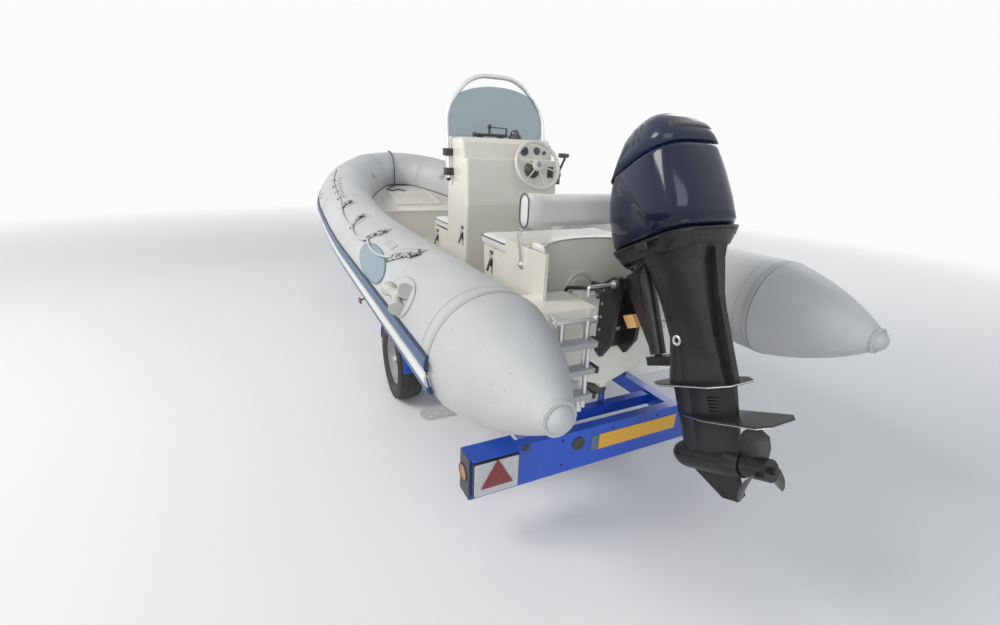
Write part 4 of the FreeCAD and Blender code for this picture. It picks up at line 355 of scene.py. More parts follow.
def wave(tree, vector, scale, direction, distortion=0.0):
    node = tree.nodes.new("ShaderNodeTexWave")
    node.bands_direction = direction
    dial(node, Scale=scale, Distortion=distortion)
    tree.links.new(vector, node.inputs["Vector"])
    return node.outputs["Fac"]


def make_tube_fabric(settings):
    """Coated fabric: a faint weave, scuffs and rain beads."""
    material = finish("tube fabric", settings.fabric, 0.42, grain=(700.0, 0.0002), dust=0.14,
                      dust_colour=(0.40, 0.38, 0.34), second=shade(settings.fabric, 0.88),
                      mottle=2.2, scratches=0.05)
    tree, spot = insides(material)
    weave = maths(tree, "ADD", wave(tree, spot, 420.0, "X"), wave(tree, spot, 420.0, "Z"))
    extra_bump(material, weave, 0.00012)
    beads = place_group(tree, "Rain Beads", Vector=spot, Scale=70.0)
    extra_bump(material, beads.outputs["Height"], 0.0016)


def make_gelcoat(settings):
    finish("gelcoat", settings.gelcoat, 0.24, coat=0.35, grain=(60.0, 0.0004), pores=0.1,
           dust=0.07, second=shade(settings.gelcoat, 0.95), mottle=3.0, scratches=0.03)


def make_deck_grip(settings):
    """Non-slip deck: a coarse raised pebble pattern in the gelcoat."""
    finish("deck grip", shade(settings.gelcoat, 0.92), 0.55, grain=(260.0, 0.0009),
           pores=0.9, dust=0.30, second=shade(settings.gelcoat, 0.80), mottle=5.0)


def make_vinyl(settings):
    """Marine vinyl: leather grain and soft creases."""
    material = finish("seat vinyl", settings.vinyl, 0.40, coat=0.08, grain=(620.0, 0.0006), pores=0.9,
                      dust=0.13, second=shade(settings.vinyl, 0.93), mottle=6.0)
    tree, spot = insides(material)
    extra_bump(material, noise(tree, 9.0, 4, spot), 0.006)


def make_brushed(name, base, roughness, direction):
    """Brushed or rolled metal with fine lines along one direction."""
    material = finish(name, base, roughness, metallic=1.0, grain=(300.0, 0.0002), dust=0.06,
                      scratches=0.10)
    tree, spot = insides(material)
    extra_bump(material, wave(tree, spot, 900.0, direction, 4.0), 0.00008)


def make_galvanised():
    """Hot-dip zinc: pale spangles in cells over a grey ground."""
    material = finish("galvanised", (0.46, 0.48, 0.49), 0.46, metallic=0.85, grain=(220.0, 0.0004), dust=0.2)
    tree, spot = insides(material)
    extra_bump(material, cells(tree, 75.0, spot).outputs["Distance"], 0.0003)


def make_wood():
    """Bare softwood with growth rings."""
    material = finish("softwood", (0.60, 0.33, 0.13), 0.65, grain=(180.0, 0.0008), dust=0.10)
    tree, spot = insides(material)
    rings = wave(tree, spot, 38.0, "Y", 3.0)
    recolour(material, mixed(tree, rings, (0.66, 0.38, 0.16), (0.46, 0.22, 0.07)))


def make_tinted_acrylic():
    """Clear smoke acrylic with a greenish tint."""
    finish("smoke acrylic", (0.17, 0.31, 0.36), 0.05, grain=(30.0, 0.0), dust=0.02, alpha=0.55)


def make_lens(name, base, ribs):
    """Moulded lamp lens with a cushion pattern on its inside."""
    material = finish(name, base, 0.12, coat=0.6, grain=(40.0, 0.0002), dust=0.08)
    tree, spot = insides(material)
    pattern = maths(tree, "MULTIPLY", wave(tree, spot, ribs, "Y"), wave(tree, spot, ribs, "Z"))
    extra_bump(material, pattern, 0.003)


def make_patterned_webbing():
    """Black webbing with a broken white pattern printed on it."""
    cloth = finish("patterned webbing", (0.02, 0.02, 0.025), 0.8, grain=(900.0, 0.0010), dust=0.12, sheen=0.2)
    tree, spot = insides(cloth)
    marks = spread(tree, noise(tree, 42.0, 2, spot), 0.50, 0.53)
    recolour(cloth, mixed(tree, marks, (0.02, 0.02, 0.025), (0.50, 0.50, 0.48)))


def make_materials(scene):
    build_dust_group()
    build_grain_group()
    build_scratch_group()
    build_beads_group()
    tube, deck, motor, trailer = scene.rib_tube, scene.rib_deck, scene.rib_motor, scene.rib_trailer
    make_tube_fabric(tube)
    finish("strake blue", tube.blue, 0.38, coat=0.15, grain=(300.0, 0.0004), dust=0.05, scratches=0.06)
    finish("strake navy", shade(tube.blue, 0.25), 0.42, grain=(300.0, 0.0004), dust=0.03)
    finish("strake white", tube.white, 0.42, grain=(300.0, 0.0004), dust=0.14, scratches=0.04)
    finish("badge blue", (0.22, 0.30, 0.35), 0.40, grain=(500.0, 0.0002), dust=0.10)
    finish("badge rim", (0.09, 0.17, 0.26), 0.40, grain=(500.0, 0.0002), dust=0.10)
    finish("seam glue", shade(tube.fabric, 0.45), 0.50, grain=(600.0, 0.0003))
    finish("tube patch", shade(tube.fabric, 0.86), 0.50, grain=(600.0, 0.0003), dust=0.18)
    finish("horn grey", (0.50, 0.50, 0.47), 0.45, grain=(300.0, 0.0004), dust=0.14)
    finish("moulded grey", (0.38, 0.40, 0.41), 0.42, grain=(300.0, 0.0004), dust=0.16)
    make_gelcoat(deck)
    make_deck_grip(deck)
    make_vinyl(deck)
    finish("piping", deck.piping, 0.35, coat=0.2, grain=(800.0, 0.0002))
    make_brushed("stainless", (0.62, 0.63, 0.64), 0.16, "Z")
    make_brushed("cast alloy", (0.52, 0.53, 0.54), 0.38, "X")
    make_galvanised()
    finish("black plastic", (0.018, 0.018, 0.020), 0.42, grain=(420.0, 0.0005), dust=0.16)
    finish("white plastic", (0.66, 0.65, 0.60), 0.30, coat=0.2, grain=(400.0, 0.0002), dust=0.14)
    finish("black webbing", (0.015, 0.016, 0.020), 0.75, grain=(900.0, 0.0008), dust=0.12, sheen=0.3)
    make_patterned_webbing()
    finish("cowl paint", motor.cowl, 0.14, coat=0.22, grain=(40.0, 0.0001), pores=0.1, dust=0.006,
           second=(0.003, 0.009, 0.040), mottle=1.4, scratches=0.01)
    finish("cowl cap paint", (0.008, 0.018, 0.048), 0.22, coat=0.18, grain=(40.0, 0.0001), dust=0.01)
    finish("leg paint", motor.leg, 0.32, coat=0.12, grain=(260.0, 0.0004), dust=0.06,
           dust_colour=(0.10, 0.095, 0.085), scratches=0.10)
    for name in ("cowl paint", "cowl cap paint", "leg paint"):
        shader = material(name).node_tree.nodes["Principled BSDF"]
        dial(shader, Specular_IOR_Level=0.30)
    finish("bracket paint", (0.010, 0.010, 0.011), 0.36, grain=(240.0, 0.0006), dust=0.09, scratches=0.10)
    finish("trailer blue", trailer.blue, 0.30, coat=0.30, grain=(120.0, 0.0004), dust=0.04,
           second=shade(trailer.blue, 0.7), mottle=2.5, scratches=0.10)
    finish("tyre rubber", (0.020, 0.020, 0.021), 0.72, grain=(300.0, 0.0009), dust=0.34,
           dust_colour=(0.13, 0.12, 0.11))
    finish("rim silver", (0.55, 0.56, 0.57), 0.34, metallic=0.7, coat=0.3, dust=0.22)
    finish("roller rubber", (0.045, 0.05, 0.06), 0.55, grain=(300.0, 0.0006), dust=0.25)
    finish("rope white", (0.56, 0.55, 0.51), 0.80, grain=(900.0, 0.0012), dust=0.16, sheen=0.3)
    finish("rope navy", (0.008, 0.012, 0.035), 0.75, grain=(900.0, 0.0012), dust=0.08, sheen=0.3)
    finish("strap webbing", (0.45, 0.20, 0.02), 0.75, grain=(900.0, 0.0008), dust=0.18)
    finish("trim grey", (0.30, 0.31, 0.31), 0.45, grain=(500.0, 0.0003), dust=0.14)
    finish("signal red", (0.55, 0.01, 0.012), 0.30, coat=0.3, dust=0.05)
    make_wood()
    make_tinted_acrylic()
    make_lens("clear lens", (0.66, 0.67, 0.70), 42.0)
    make_lens("red lens", (0.42, 0.006, 0.012), 160.0)
    make_lens("amber lens", (0.72, 0.20, 0.01), 160.0)
    finish("plate sheet", trailer.plate, 0.30, coat=0.3, grain=(900.0, 0.0002), dust=0.08)
    finish("dial face", (0.02, 0.03, 0.05), 0.12, coat=0.8, dust=0.03)
    finish("grip tape", (0.05, 0.05, 0.055), 0.85, grain=(700.0, 0.0010), dust=0.2)


def material(name):
    return bpy.data.materials[name]


# Bare CAD nodes that keep their shape get their finish here.
CARRIED = (
    # material, nodes
    ("tube fabric", ("port_tube", "starboard_tube", "bow_tube", "stern_cones")),
    ("strake blue", ("rub_strakes",)),
    ("gelcoat", ("hull", "transom", "quarter_flats", "bow_locker", "bow_locker_lid", "console",
                 "front_seat_base", "bench_base")),
    ("stainless", ("windscreen_hoop", "backrest_arms", "boarding_ladder", "hull_fittings")),
    ("black plastic", ("dash_instruments", "helm_controls", "tail_lamps")),
    ("white plastic", ("helm_wheel", "inspection_hatch")),
    ("smoke acrylic", ("windscreen",)),
    ("cowl paint", ("cowl",)),
    ("leg paint", ("motor_leg", "gearcase", "cowl_pan", "propeller", "powerhead")),
    ("bracket paint", ("clamp_bracket", "swivel_bracket")),
    ("trailer blue", ("frame_rails", "drawbar", "cross_members", "mudguards", "light_board",
                      "winch_post", "roller_brackets")),
    ("galvanised", ("axle", "coupling_head", "jockey_column", "jockey_fork", "winch", "step_plates")),
    ("tyre rubber", ("port_tyre", "starboard_tyre")),
    ("rim silver", ("port_rim", "starboard_rim")),
    ("roller rubber", ("keel_rollers", "hull_bunks", "jockey_wheel", "bow_snubber")),
    ("strap webbing", ("winch_strap",)),
    ("rope white", ("lifelines",)),
    ("rope navy", ("bow_line",)),
    ("softwood", ("tilt_chock",)),
    ("seat vinyl", ("bench_cushion", "aft_cushion", "front_seat_cushion", "backrest")),
)


class RIB_OT_finishes(bpy.types.Operator):
    """Make every material and give the bare solids theirs"""
    bl_idname = "rib.finishes"
    bl_label = "Finishes"

    def execute(self, context):
        make_materials(context.scene)
        for name, nodes in CARRIED:
            for node in nodes:
                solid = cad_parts[node]
                solid.data.materials.clear()
                solid.data.materials.append(material(name))
        return {"FINISHED"}


# Meshes


def new_piece(name, bm, finish_name, body="root", stands_for=(), mirror=False, bevel=0.0, smooth=40,
              subdivide=0):
    """Make an object of a mesh, in its finish, riding on its body, instead of the CAD nodes named."""
    bmesh.ops.recalc_face_normals(bm, faces=bm.faces)
    data = bpy.data.meshes.new(name)
    bm.to_mesh(data)
    bm.free()
    data.shade_smooth()
    if smooth:
        data.set_sharp_from_angle(angle=math.radians(smooth))
    data.materials.append(material(finish_name))
    piece = bpy.data.objects.new(name, data)
    bpy.context.scene.collection.objects.link(piece)
    if mirror:
        other = piece.modifiers.new("other side", "MIRROR")
        other.use_axis = (False, True, False)
        other.merge_threshold = 0.0005
    if bevel:
        edge = piece.modifiers.new("edges", "BEVEL")
        edge.width, edge.segments = bevel, 2
        edge.limit_method, edge.angle_limit = "ANGLE", math.radians(35)
    if subdivide:
        finer = piece.modifiers.new("finer", "SUBSURF")
        finer.levels = finer.render_levels = subdivide
    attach(piece, body)
    if stands_for:
        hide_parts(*stands_for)
    return piece


def thicken(piece, depth):
    """Give an open skin a wall, from its face inward."""
    wall = piece.modifiers.new("wall", "SOLIDIFY")
    wall.thickness, wall.offset = depth, -1


def drawn(name, finish_name, draw, *shape, **more):
    """A piece that takes one drawing call, such as slab or washer."""
    bm = bmesh.new()
    draw(bm, *shape)
    return new_piece(name, bm, finish_name, **more)


def block(bm, low, high, place=None):
    """A box between two corners."""
    low, high = Vector(low), Vector(high)
    matrix = Matrix.Translation((low + high) / 2) @ Matrix.Diagonal((*(high - low), 1))
    if place is not None:
        matrix = place @ matrix
    bmesh.ops.create_cube(bm, size=1, matrix=matrix)


def along(start, end):
    """Axes at the middle of a run, Z along it."""
    start, end = Vector(start), Vector(end)
    turn = (end - start).to_track_quat("Z", "Y").to_matrix().to_4x4()
    return Matrix.Translation((start + end) / 2) @ turn


def rod(bm, start, end, radius, end_radius=None, segments=24):
    """A round bar or cone between two points."""
    length = (Vector(end) - Vector(start)).length
    bmesh.ops.create_cone(bm, cap_ends=True, segments=segments, radius1=radius,
                          radius2=radius if end_radius is None else end_radius,
                          depth=length, matrix=along(start, end))


def only_verts(items):
    return [item for item in items if isinstance(item, bmesh.types.BMVert)]


def chain(bm, points, close=False):
    """Points joined by edges."""
    spots = [bm.verts.new(point) for point in points]
    ends = spots[1:] + (spots[:1] if close else [])
    return spots + [bm.edges.new(pair) for pair in zip(spots, ends)]


def slab(bm, points, depth):
    """A flat outline pushed out by a vector."""
    face = bm.faces.new([bm.verts.new(point) for point in points])
    made = bmesh.ops.extrude_face_region(bm, geom=[face])["geom"]
    bmesh.ops.translate(bm, vec=depth, verts=only_verts(made))


def turned(bm, points, centre, axis, steps):
    """A profile turned full circle about an axis."""
    drawing = chain(bm, points)
    bmesh.ops.spin(bm, geom=drawing, cent=centre, axis=axis, angle=math.tau, steps=steps, use_merge=True)
    bmesh.ops.remove_doubles(bm, verts=bm.verts, dist=0.00005)


def stack(bm, rings):
    """Rings of the same count joined one after the other, closed at both ends."""
    rows = [chain(bm, ring, close=True) for ring in rings]
    for low, high in zip(rows, rows[1:]):
        loops = [item for item in low + high if isinstance(item, bmesh.types.BMEdge)]
        bmesh.ops.bridge_loops(bm, edges=loops)
    for row in (rows[0], rows[-1]):
        bm.faces.new(only_verts(row))


def tube_line(name, points, radius, finish_name, body="root", closed=False, stands_for=()):
    """A round line through its points, as a smooth curve."""
    data = bpy.data.curves.new(name, "CURVE")
    data.dimensions = "3D"
    data.bevel_depth, data.bevel_resolution, data.resolution_u = radius, 3, 6
    data.use_fill_caps = True
    spline = data.splines.new("NURBS")
    spline.points.add(len(points) - 1)
    for spot, point in zip(spline.points, points):
        spot.co = (*point, 1)
    spline.order_u = 3
    spline.use_cyclic_u = closed
    spline.use_endpoint_u = not closed
    data.materials.append(material(finish_name))
    line = bpy.data.objects.new(name, data)
    bpy.context.scene.collection.objects.link(line)
    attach(line, body)
    if stands_for:
        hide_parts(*stands_for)
    return line


# The tubes' track


def track_runs():
    """Runs of the port tube's centre line: length, bend radius, way to the bend's centre, axis."""
    tube = bpy.context.scene.rib_tube
    side, front = math.sin(tube.sweep), math.cos(tube.sweep)
    share = side * front - (1 - front) * (1 - side)
    wide = (tube.bow_reach * front - tube.half_beam * (1 - side)) / share
    tight = (tube.half_beam * side - tube.bow_reach * (1 - front)) / share
    return ((tube.rise_start - tube.seam, 0, X, X),
            (tube.rise_radius * tube.rise_angle, tube.rise_radius, Z, -Y),
            (wide * tube.sweep, wide, -Y, -Z),
            (tight * (math.pi / 2 - tube.sweep) * 2, tight, -Y, -Z))


def bow_span():
    """Distances along the track where the bow tube begins and where it crosses the middle line."""
    lengths = [run[0] for run in track_runs()]
    return sum(lengths[:3]), sum(lengths[:3]) + lengths[3] / 2


def track_matrix(distance):
    """Axes of the port tube at a distance from its seam: X forward, Y outboard, Z up."""
    tube = bpy.context.scene.rib_tube
    place = Matrix.Translation(at(tube.seam, tube.half_beam, tube.height))
    for length, radius, towards, axis in track_runs():
        run = max(0.0, min(distance, length))
        if radius:
            arm = Matrix.Translation(towards * radius)
            place = place @ arm @ Matrix.Rotation(run / radius, 4, axis) @ arm.inverted()
        else:
            place = place @ Matrix.Translation(X * min(distance, length))
        distance -= length
        if distance <= 0:
            break
    return place


def on_tube(distance, degrees, lift=0.0):
    """A point on the port tube's skin: degrees up from outboard, lift off the fabric."""
    reach = bpy.context.scene.rib_tube.radius + lift
    turn = math.radians(degrees)
    return track_matrix(distance) @ Vector((0, reach * math.cos(turn), reach * math.sin(turn)))


def off_tube(distance, degrees):
    """The way out of the port tube's skin at a point."""
    return (on_tube(distance, degrees, 1) - on_tube(distance, degrees)).normalized()


# Longest steps of a profile along the track, in its bends and on its straight run.
BEND_STEP, RUN_STEP = math.radians(2.5), 0.12


def carry(bm, drawing, start, end):
    """Draw a profile along the track from one distance to another."""
    passed = 0
    for length, radius, towards, axis in track_runs():
        low, high = max(start, passed), min(end, passed + length)
        passed += length
        if high - low < 1e-6:
            continue
        here = track_matrix(low)
        turn = here.to_3x3()
        if radius:
            sweep = (high - low) / radius
            steps = max(2, math.ceil(sweep / BEND_STEP))
            made = bmesh.ops.spin(bm, geom=drawing, cent=here @ (towards * radius), axis=turn @ axis,
                                  angle=sweep, steps=steps)
        else:
            steps = max(1, math.ceil((high - low) / RUN_STEP))
            made = bmesh.ops.spin(bm, geom=drawing, cent=here.translation, axis=X, angle=0, steps=steps,
                                  dvec=turn @ X * ((high - low) / steps))
        drawing = made["geom_last"]
    return drawing


def tube_band(name, finish_name, outline, start, end, closed=False, **more):
    """A strip along the tube. outline lists degrees and lift off the fabric."""
    bm = bmesh.new()
    drawing = chain(bm, [on_tube(start, degrees, lift) for degrees, lift in outline], close=closed)
    first = only_verts(drawing)
    last = carry(bm, drawing, start, end)
    if not closed:
        bm.faces.new(first)
        if end < bow_span()[1] - 0.001:
            bm.faces.new(only_verts(last))
    return new_piece(name, bm, finish_name, mirror=True, **more)


TUBE_SIDES = 64
# Middle of the cone's curve, as a share of the tube's radius, the rest being the cap's.
CONE_WAIST = 0.60
CONE_STEPS = 14


class RIB_OT_tubes(bpy.types.Operator):
    """Inflated tubes with their stern cones, seams and tapes"""
    bl_idname = "rib.tubes"
    bl_label = "Tubes"

    def execute(self, context):
        tube = context.scene.rib_tube
        around = [360 * step / TUBE_SIDES for step in range(TUBE_SIDES)]
        skin = [(degrees, 0.0) for degrees in around]
        joint, middle = bow_span()
        tube_band("tube_skin", "tube fabric", skin, 0, joint, closed=True,
                  stands_for=("port_tube", "starboard_tube"))
        tube_band("bow_skin", "tube fabric", skin, joint, middle, closed=True, stands_for=("bow_tube",))
        # Tapes over the glued joins, and the dark line of the cone's seam.
        tapes = ((0.030, 0.018, 0.0010, "tube patch"), (0.003, 0.0035, 0.0016, "seam glue"),
                 (0.082, 0.0020, 0.0008, "seam glue"), (joint, 0.045, 0.0012, "tube patch"),
                 (3.02, 0.040, 0.0010, "tube patch"))
        for number, (spot, wide, lift, paint) in enumerate(tapes):
            ring = [(degrees, lift) for degrees in around]
            tube_band(f"join_tape_{number}", paint, ring, spot - wide / 2, spot + wide / 2, closed=True)
        # Stern cone: an ogive, a ring and a button cap.
        seam, tip = at(tube.seam, 0, 0).x, at(tube.seam - tube.cone_length, 0, 0).x
        centre = Vector((0, tube.half_beam, tube.height))
        cap = tube.cap_radius
        profile = []
        waist = CONE_WAIST * tube.radius + (1 - CONE_WAIST) * cap
        for step in range(CONE_STEPS + 1):
            share = step / CONE_STEPS
            first, middle_share, last = (1 - share) ** 2, 2 * (1 - share) * share, share ** 2
            reach = tube.radius * first + middle_share * (2 * waist - (tube.radius + cap) / 2) + cap * last
            bend = middle_share * ((seam + tip) / 2 - 0.04) + first * seam + last * tip
            profile.append((bend, centre.y, centre.z + reach))
        drawn("cone_skin", "tube fabric", turned, profile, centre, X, 64, mirror=True,
              stands_for=("stern_cones",))
        bm = bmesh.new()
        ring = [(0.004, cap), (0.002, cap + 0.007), (-0.008, cap + 0.007), (-0.012, cap - 0.002),
                (-0.010, cap * 0.9), (-0.022, cap * 0.80), (-0.034, cap * 0.55), (-0.041, cap * 0.25),
                (-0.042, 0.0)]
        turned(bm, [(tip + x, centre.y, centre.z + reach) for x, reach in ring], centre, X, 48)
        new_piece("cone_caps", bm, "tube patch", mirror=True)
        return {"FINISHED"}


class RIB_OT_strakes(bpy.types.Operator):
    """Rub strake in its coloured beads, with the flaps at its ends"""
    bl_idname = "rib.strakes"
    bl_label = "Rub strakes"

    def execute(self, context):
        middle = bow_span()[1]
        beads = (
            # name, finish, degrees and lift from the top down
            ("strake_edge", "strake navy", ((10.2, 0), (10.0, .006), (9.3, .0085), (8.4, .006), (8.2, 0))),
            ("strake_blue", "strake blue", ((8.4, 0), (8.2, .009), (6.8, .013), (4.6, .0122), (3.8, .0150),
                                            (2.0, .0160), (0.2, .0155), (-1.4, .0135), (-2.4, .010),
                                            (-2.6, 0))),
            # Painted shade: a navy strip in the groove between the blue bead and the thin white bead.
            ("strake_shade_line", "strake navy", ((-2.6, 0), (-2.6, .0085), (-3.6, .0085), (-3.6, 0))),
            ("strake_thin", "strake white", ((-3.6, 0), (-3.6, .011), (-4.4, .0130), (-5.2, .011),
                                             (-5.2, 0))),
            # Painted shade: a navy strip in the groove between the thin white bead and the broad white bead.
            ("strake_shade_gap", "strake navy", ((-5.2, 0), (-5.2, .008), (-6.0, .008), (-6.0, 0))),
            ("strake_white", "strake white", ((-6.0, 0), (-6.2, .012), (-8.4, .0175), (-11.5, .0195),
                                              (-14.6, .0185), (-16.4, .014), (-16.6, 0))),
            ("strake_foot", "strake blue", ((-16.6, 0), (-16.7, .015), (-18.8, .021), (-21.6, .0215),
                                            (-23.8, .014), (-24.2, 0))),
        )
        pieces = [tube_band(name, paint, [(a, lift or -.002) for a, lift in outline], 0.0, middle)
                  for name, paint, outline in beads]
        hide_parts("rub_strakes")
        bm = bmesh.new()
        flaps = (
            # degrees, reach behind the seam, half width in degrees
            (4.0, 0.034, 4.4), (-2.0, 0.022, 2.6), (-10.0, 0.032, 3.6), (-14.0, 0.022, 2.6),
            (-20.5, 0.030, 3.4))
        for degrees, reach, half in flaps:
            corners = [on_tube(0.004, degrees + half, .006), on_tube(0.004, degrees - half, .006),
                       on_tube(0, degrees - half * 0.3, .009) - X * reach]
            slab(bm, corners, off_tube(0, degrees) * 0.003)
        new_piece("strake_flaps", bm, "strake navy", mirror=True, smooth=20)
        return {"FINISHED"}


# Cushions

# Voxel sizes of the covers, and the frames that the cloth simulation runs for.
CUSHION_CELL, PAD_CELL = 0.012, 0.006
CLOTH_FRAMES = 16
# Share of the cushions' puff that the thin aft pads may take.
PAD_PUFF = 0.3


def swollen(name, node, body, radius, puff):
    """A cushion's cover: the CAD block rounded, then blown up a little by a cloth simulation."""
    bm = bmesh.new()
    block(bm, *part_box(node))
    bmesh.ops.bevel(bm, geom=bm.edges[:], offset=radius, segments=4, affect="EDGES", profile=0.5, material=-1)
    piece = new_piece(name, bm, "seat vinyl", body=body, stands_for=(node,), smooth=0)
    blow(piece, puff, CUSHION_CELL)
    soft = piece.modifiers.new("finer", "SUBSURF")
    soft.levels = soft.render_levels = 1


def blow(piece, puff, cell):
    """Remesh evenly, press the cover out from inside, and keep each move under the puff."""
    scene = bpy.context.scene
    even = piece.modifiers.new("even", "REMESH")
    even.mode, even.voxel_size = "VOXEL", cell
    even.use_smooth_shade = True
    keep_shape(piece)
    before = [spot.co.copy() for spot in piece.data.vertices]
    cloth = piece.modifiers.new("cloth", "CLOTH")
    rules = cloth.settings
    rules.quality, rules.mass = 5, 0.3
    rules.tension_stiffness = rules.compression_stiffness = 15
    rules.shear_stiffness, rules.bending_stiffness = 10, 1.5
    rules.use_pressure, rules.uniform_pressure_force = True, 4.0
    rules.effector_weights.gravity = 0
    cloth.point_cache.frame_start, cloth.point_cache.frame_end = 1, CLOTH_FRAMES
    for step in range(1, CLOTH_FRAMES + 1):
        scene.frame_set(step)
    keep_shape(piece)
    scene.frame_set(1)
    for spot, old in zip(piece.data.vertices, before):
        move = spot.co - old
        if move.length > puff:
            spot.co = old + move.normalized() * puff


def keep_shape(piece):
    """Bake the modifiers into the mesh."""
    view = bpy.context.evaluated_depsgraph_get()
    baked = bpy.data.meshes.new_from_object(piece.evaluated_get(view))
    piece.modifiers.clear()
    piece.data = baked
    baked.shade_smooth()


def rounded_loop(low, high, radius, level, axis):
    """Points round a rectangle with rounded corners, at one level of an axis."""
    across = [i for i in range(3) if i != axis]
    points = []
    for number, (u, v) in enumerate(((1, 1), (0, 1), (0, 0), (1, 0))):
        centre = [(high[across[0]] - radius if u else low[across[0]] + radius),
                  (high[across[1]] - radius if v else low[across[1]] + radius)]
        for step in range(5):
            turn = math.radians(90 * number + 22.5 * step)
            spot = [0.0, 0.0, 0.0]
            spot[axis] = level
            spot[across[0]] = centre[0] + radius * math.cos(turn)
            spot[across[1]] = centre[1] + radius * math.sin(turn)
            points.append(Vector(spot))
    return points


class RIB_OT_cushions(bpy.types.Operator):
    """Vinyl cushions with dark piping"""
    bl_idname = "rib.cushions"
    bl_label = "Cushions"

    def execute(self, context):
        puff = context.scene.rib_deck.puff
        pads = (
            # node, body, rounding, axis of the piping, corner of the piping
            ("bench_cushion", "bench_lid", 0.016, 2, 0.030),
            ("front_seat_cushion", "seat_lid", 0.014, 2, 0.026),
            ("backrest", "backrest", 0.038, 1, 0.045),
        )
        for node, body, radius, axis, corner in pads:
            low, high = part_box(node)
            swollen(f"{node}_cover", node, body, radius, puff)
            tuck = 0.010
            small = [low[i] + (tuck if i == axis else 0.0035) for i in range(3)]
            large = [high[i] - (tuck if i == axis else 0.0035) for i in range(3)]
            for number, level in enumerate((large[axis],) if axis == 2 else (small[axis], large[axis])):
                tube_line(f"{node}_piping_{number}", rounded_loop(small, large, corner, level, axis), 0.0035,
                          "piping", body, closed=True)
        return {"FINISHED"}


# Motor


def motor_place():
    """The motor's own axes in the model frame: origin on the tilt tube, Z up the steering axis."""
    motor = bpy.context.scene.rib_motor
    return Matrix.Translation(at(motor.pivot_x, 0, motor.pivot_z)) @ Matrix.Rotation(motor.tilt, 4, "Y")


COWL_SQUARENESS, COWL_POINTS, COWL_NOSE = 3.2, 40, 0.70


def cowl_ring(aft, fore, half, level):
    """One level of the cowl: a rounded outline, wider behind than in front."""
    place = motor_place()
    middle, reach = (aft + fore) / 2, (fore - aft) / 2
    points = []
    for step in range(COWL_POINTS):
        turn = math.tau * step / COWL_POINTS
        c, s = math.cos(turn), math.sin(turn)
        x = math.copysign(abs(c) ** (2 / COWL_SQUARENESS), c)
        y = math.copysign(abs(s) ** (2 / COWL_SQUARENESS), s)
        width = half * (1 - (1 - COWL_NOSE) * (x + 1) / 2)
        points.append(place @ Vector((middle + reach * x, width * y, level)))
    return points


COWL = (
    # level, aft end, front end, half width
    (0.132, -0.505, -0.018, 0.195), (0.142, -0.506, -0.016, 0.197), (0.239, -0.508, -0.010, 0.195),
    (0.342, -0.500, -0.022, 0.189), (0.4256, -0.490, -0.064, 0.181), (0.4955, -0.474, -0.126, 0.168),
    (0.551, -0.448, -0.172, 0.144), (0.582, -0.412, -0.212, 0.113), (0.596, -0.362, -0.245, 0.074))


class RIB_OT_cowl(bpy.types.Operator):
    """Engine cowl with its raised cap, seam lip and vents"""
    bl_idname = "rib.cowl"
    bl_label = "Cowl"

    def execute(self, context):
        drawn("cowl_skin", "cowl paint", stack, [cowl_ring(aft, fore, half, level)
              for level, aft, fore, half in COWL], body="motor", stands_for=("cowl",), smooth=50,
              subdivide=1)
        # Cap: the top of the same shape, lifted, behind a slanting cut.
        self.shell_part("cowl_cap", "cowl cap paint", 0.006, (((-0.340, 0, 0.449), (0.061, 0, 0.998)),))
        # Shoulder panel on the flanks, aft of a diagonal crease and under the cap.
        self.shell_part("cowl_shoulder", "cowl paint", 0.003, (
            ((-0.271, 0, 0.276), (-0.80, 0, 0.60)), ((-0.340, 0, 0.446), (-0.061, 0, -0.998)),
            ((-0.300, 0, 0.160), (0, 0, 1))))
        # Air inlet across the aft crown and two vents on each side of it, drawn as black patches: painted
        # shade for their open slots. Latch under the seam.
        self.shell_part("cowl_inlet_shade", "black plastic", 0.0072, (
            ((0, 0, 0.512), Z), ((0, 0, 0.540), -Z), ((-0.400, 0, 0), -X),
            ((0, 0.104, 0), -Y), ((0, -0.104, 0), Y)))
        for number, x in enumerate((-0.307, -0.341)):
            self.shell_part(f"cowl_vent_shade_{number}", "black plastic", 0.0072, (
                ((x - 0.007, 0, 0), X), ((x + 0.007, 0, 0), -X), ((0, 0, 0.505), Z),
                ((0, 0, 0.572), -Z)))
        drawn("cowl_latch", "leg paint", block, (-0.345, 0.178, 0.086), (-0.285, 0.199, 0.117),
              motor_place(), body="motor", bevel=0.004)
        # Lip along the seam, and the pan under it.
        drawn("cowl_lip", "leg paint", stack, [cowl_ring(-0.505 - g, -0.018 + g, 0.195 + g, level)
              for level, g in ((0.119, 0.001), (0.121, 0.005), (0.129, 0.005), (0.131, 0.001))],
              body="motor", smooth=50)
        drawn("cowl_pan_skin", "leg paint", stack, [cowl_ring(-0.501, -0.022, 0.193, 0.120),
              cowl_ring(-0.497, -0.026, 0.186, 0.100), cowl_ring(-0.478, -0.040, 0.169, 0.070)],
              body="motor", smooth=50)
        return {"FINISHED"}

    def shell_part(self, name, finish_name, grow, cuts):
        """The cowl's own shape grown a little, kept where each plane's normal points."""
        place = motor_place()
        bm = bmesh.new()
        stack(bm, [cowl_ring(aft - grow, fore + grow, half + grow, level + (grow if level > 0.3 else 0))
                   for level, aft, fore, half in COWL])
        for spot, normal in cuts:
            bmesh.ops.bisect_plane(bm, geom=bm.verts[:] + bm.edges[:] + bm.faces[:],
                                   plane_co=place @ Vector(spot),
                                   plane_no=(place.to_3x3() @ Vector(normal)).normalized(),
                                   clear_inner=True)
        thicken(new_piece(name, bm, finish_name, body="motor", smooth=50), grow + 0.001)


# Lines, patches and small fittings on the tubes


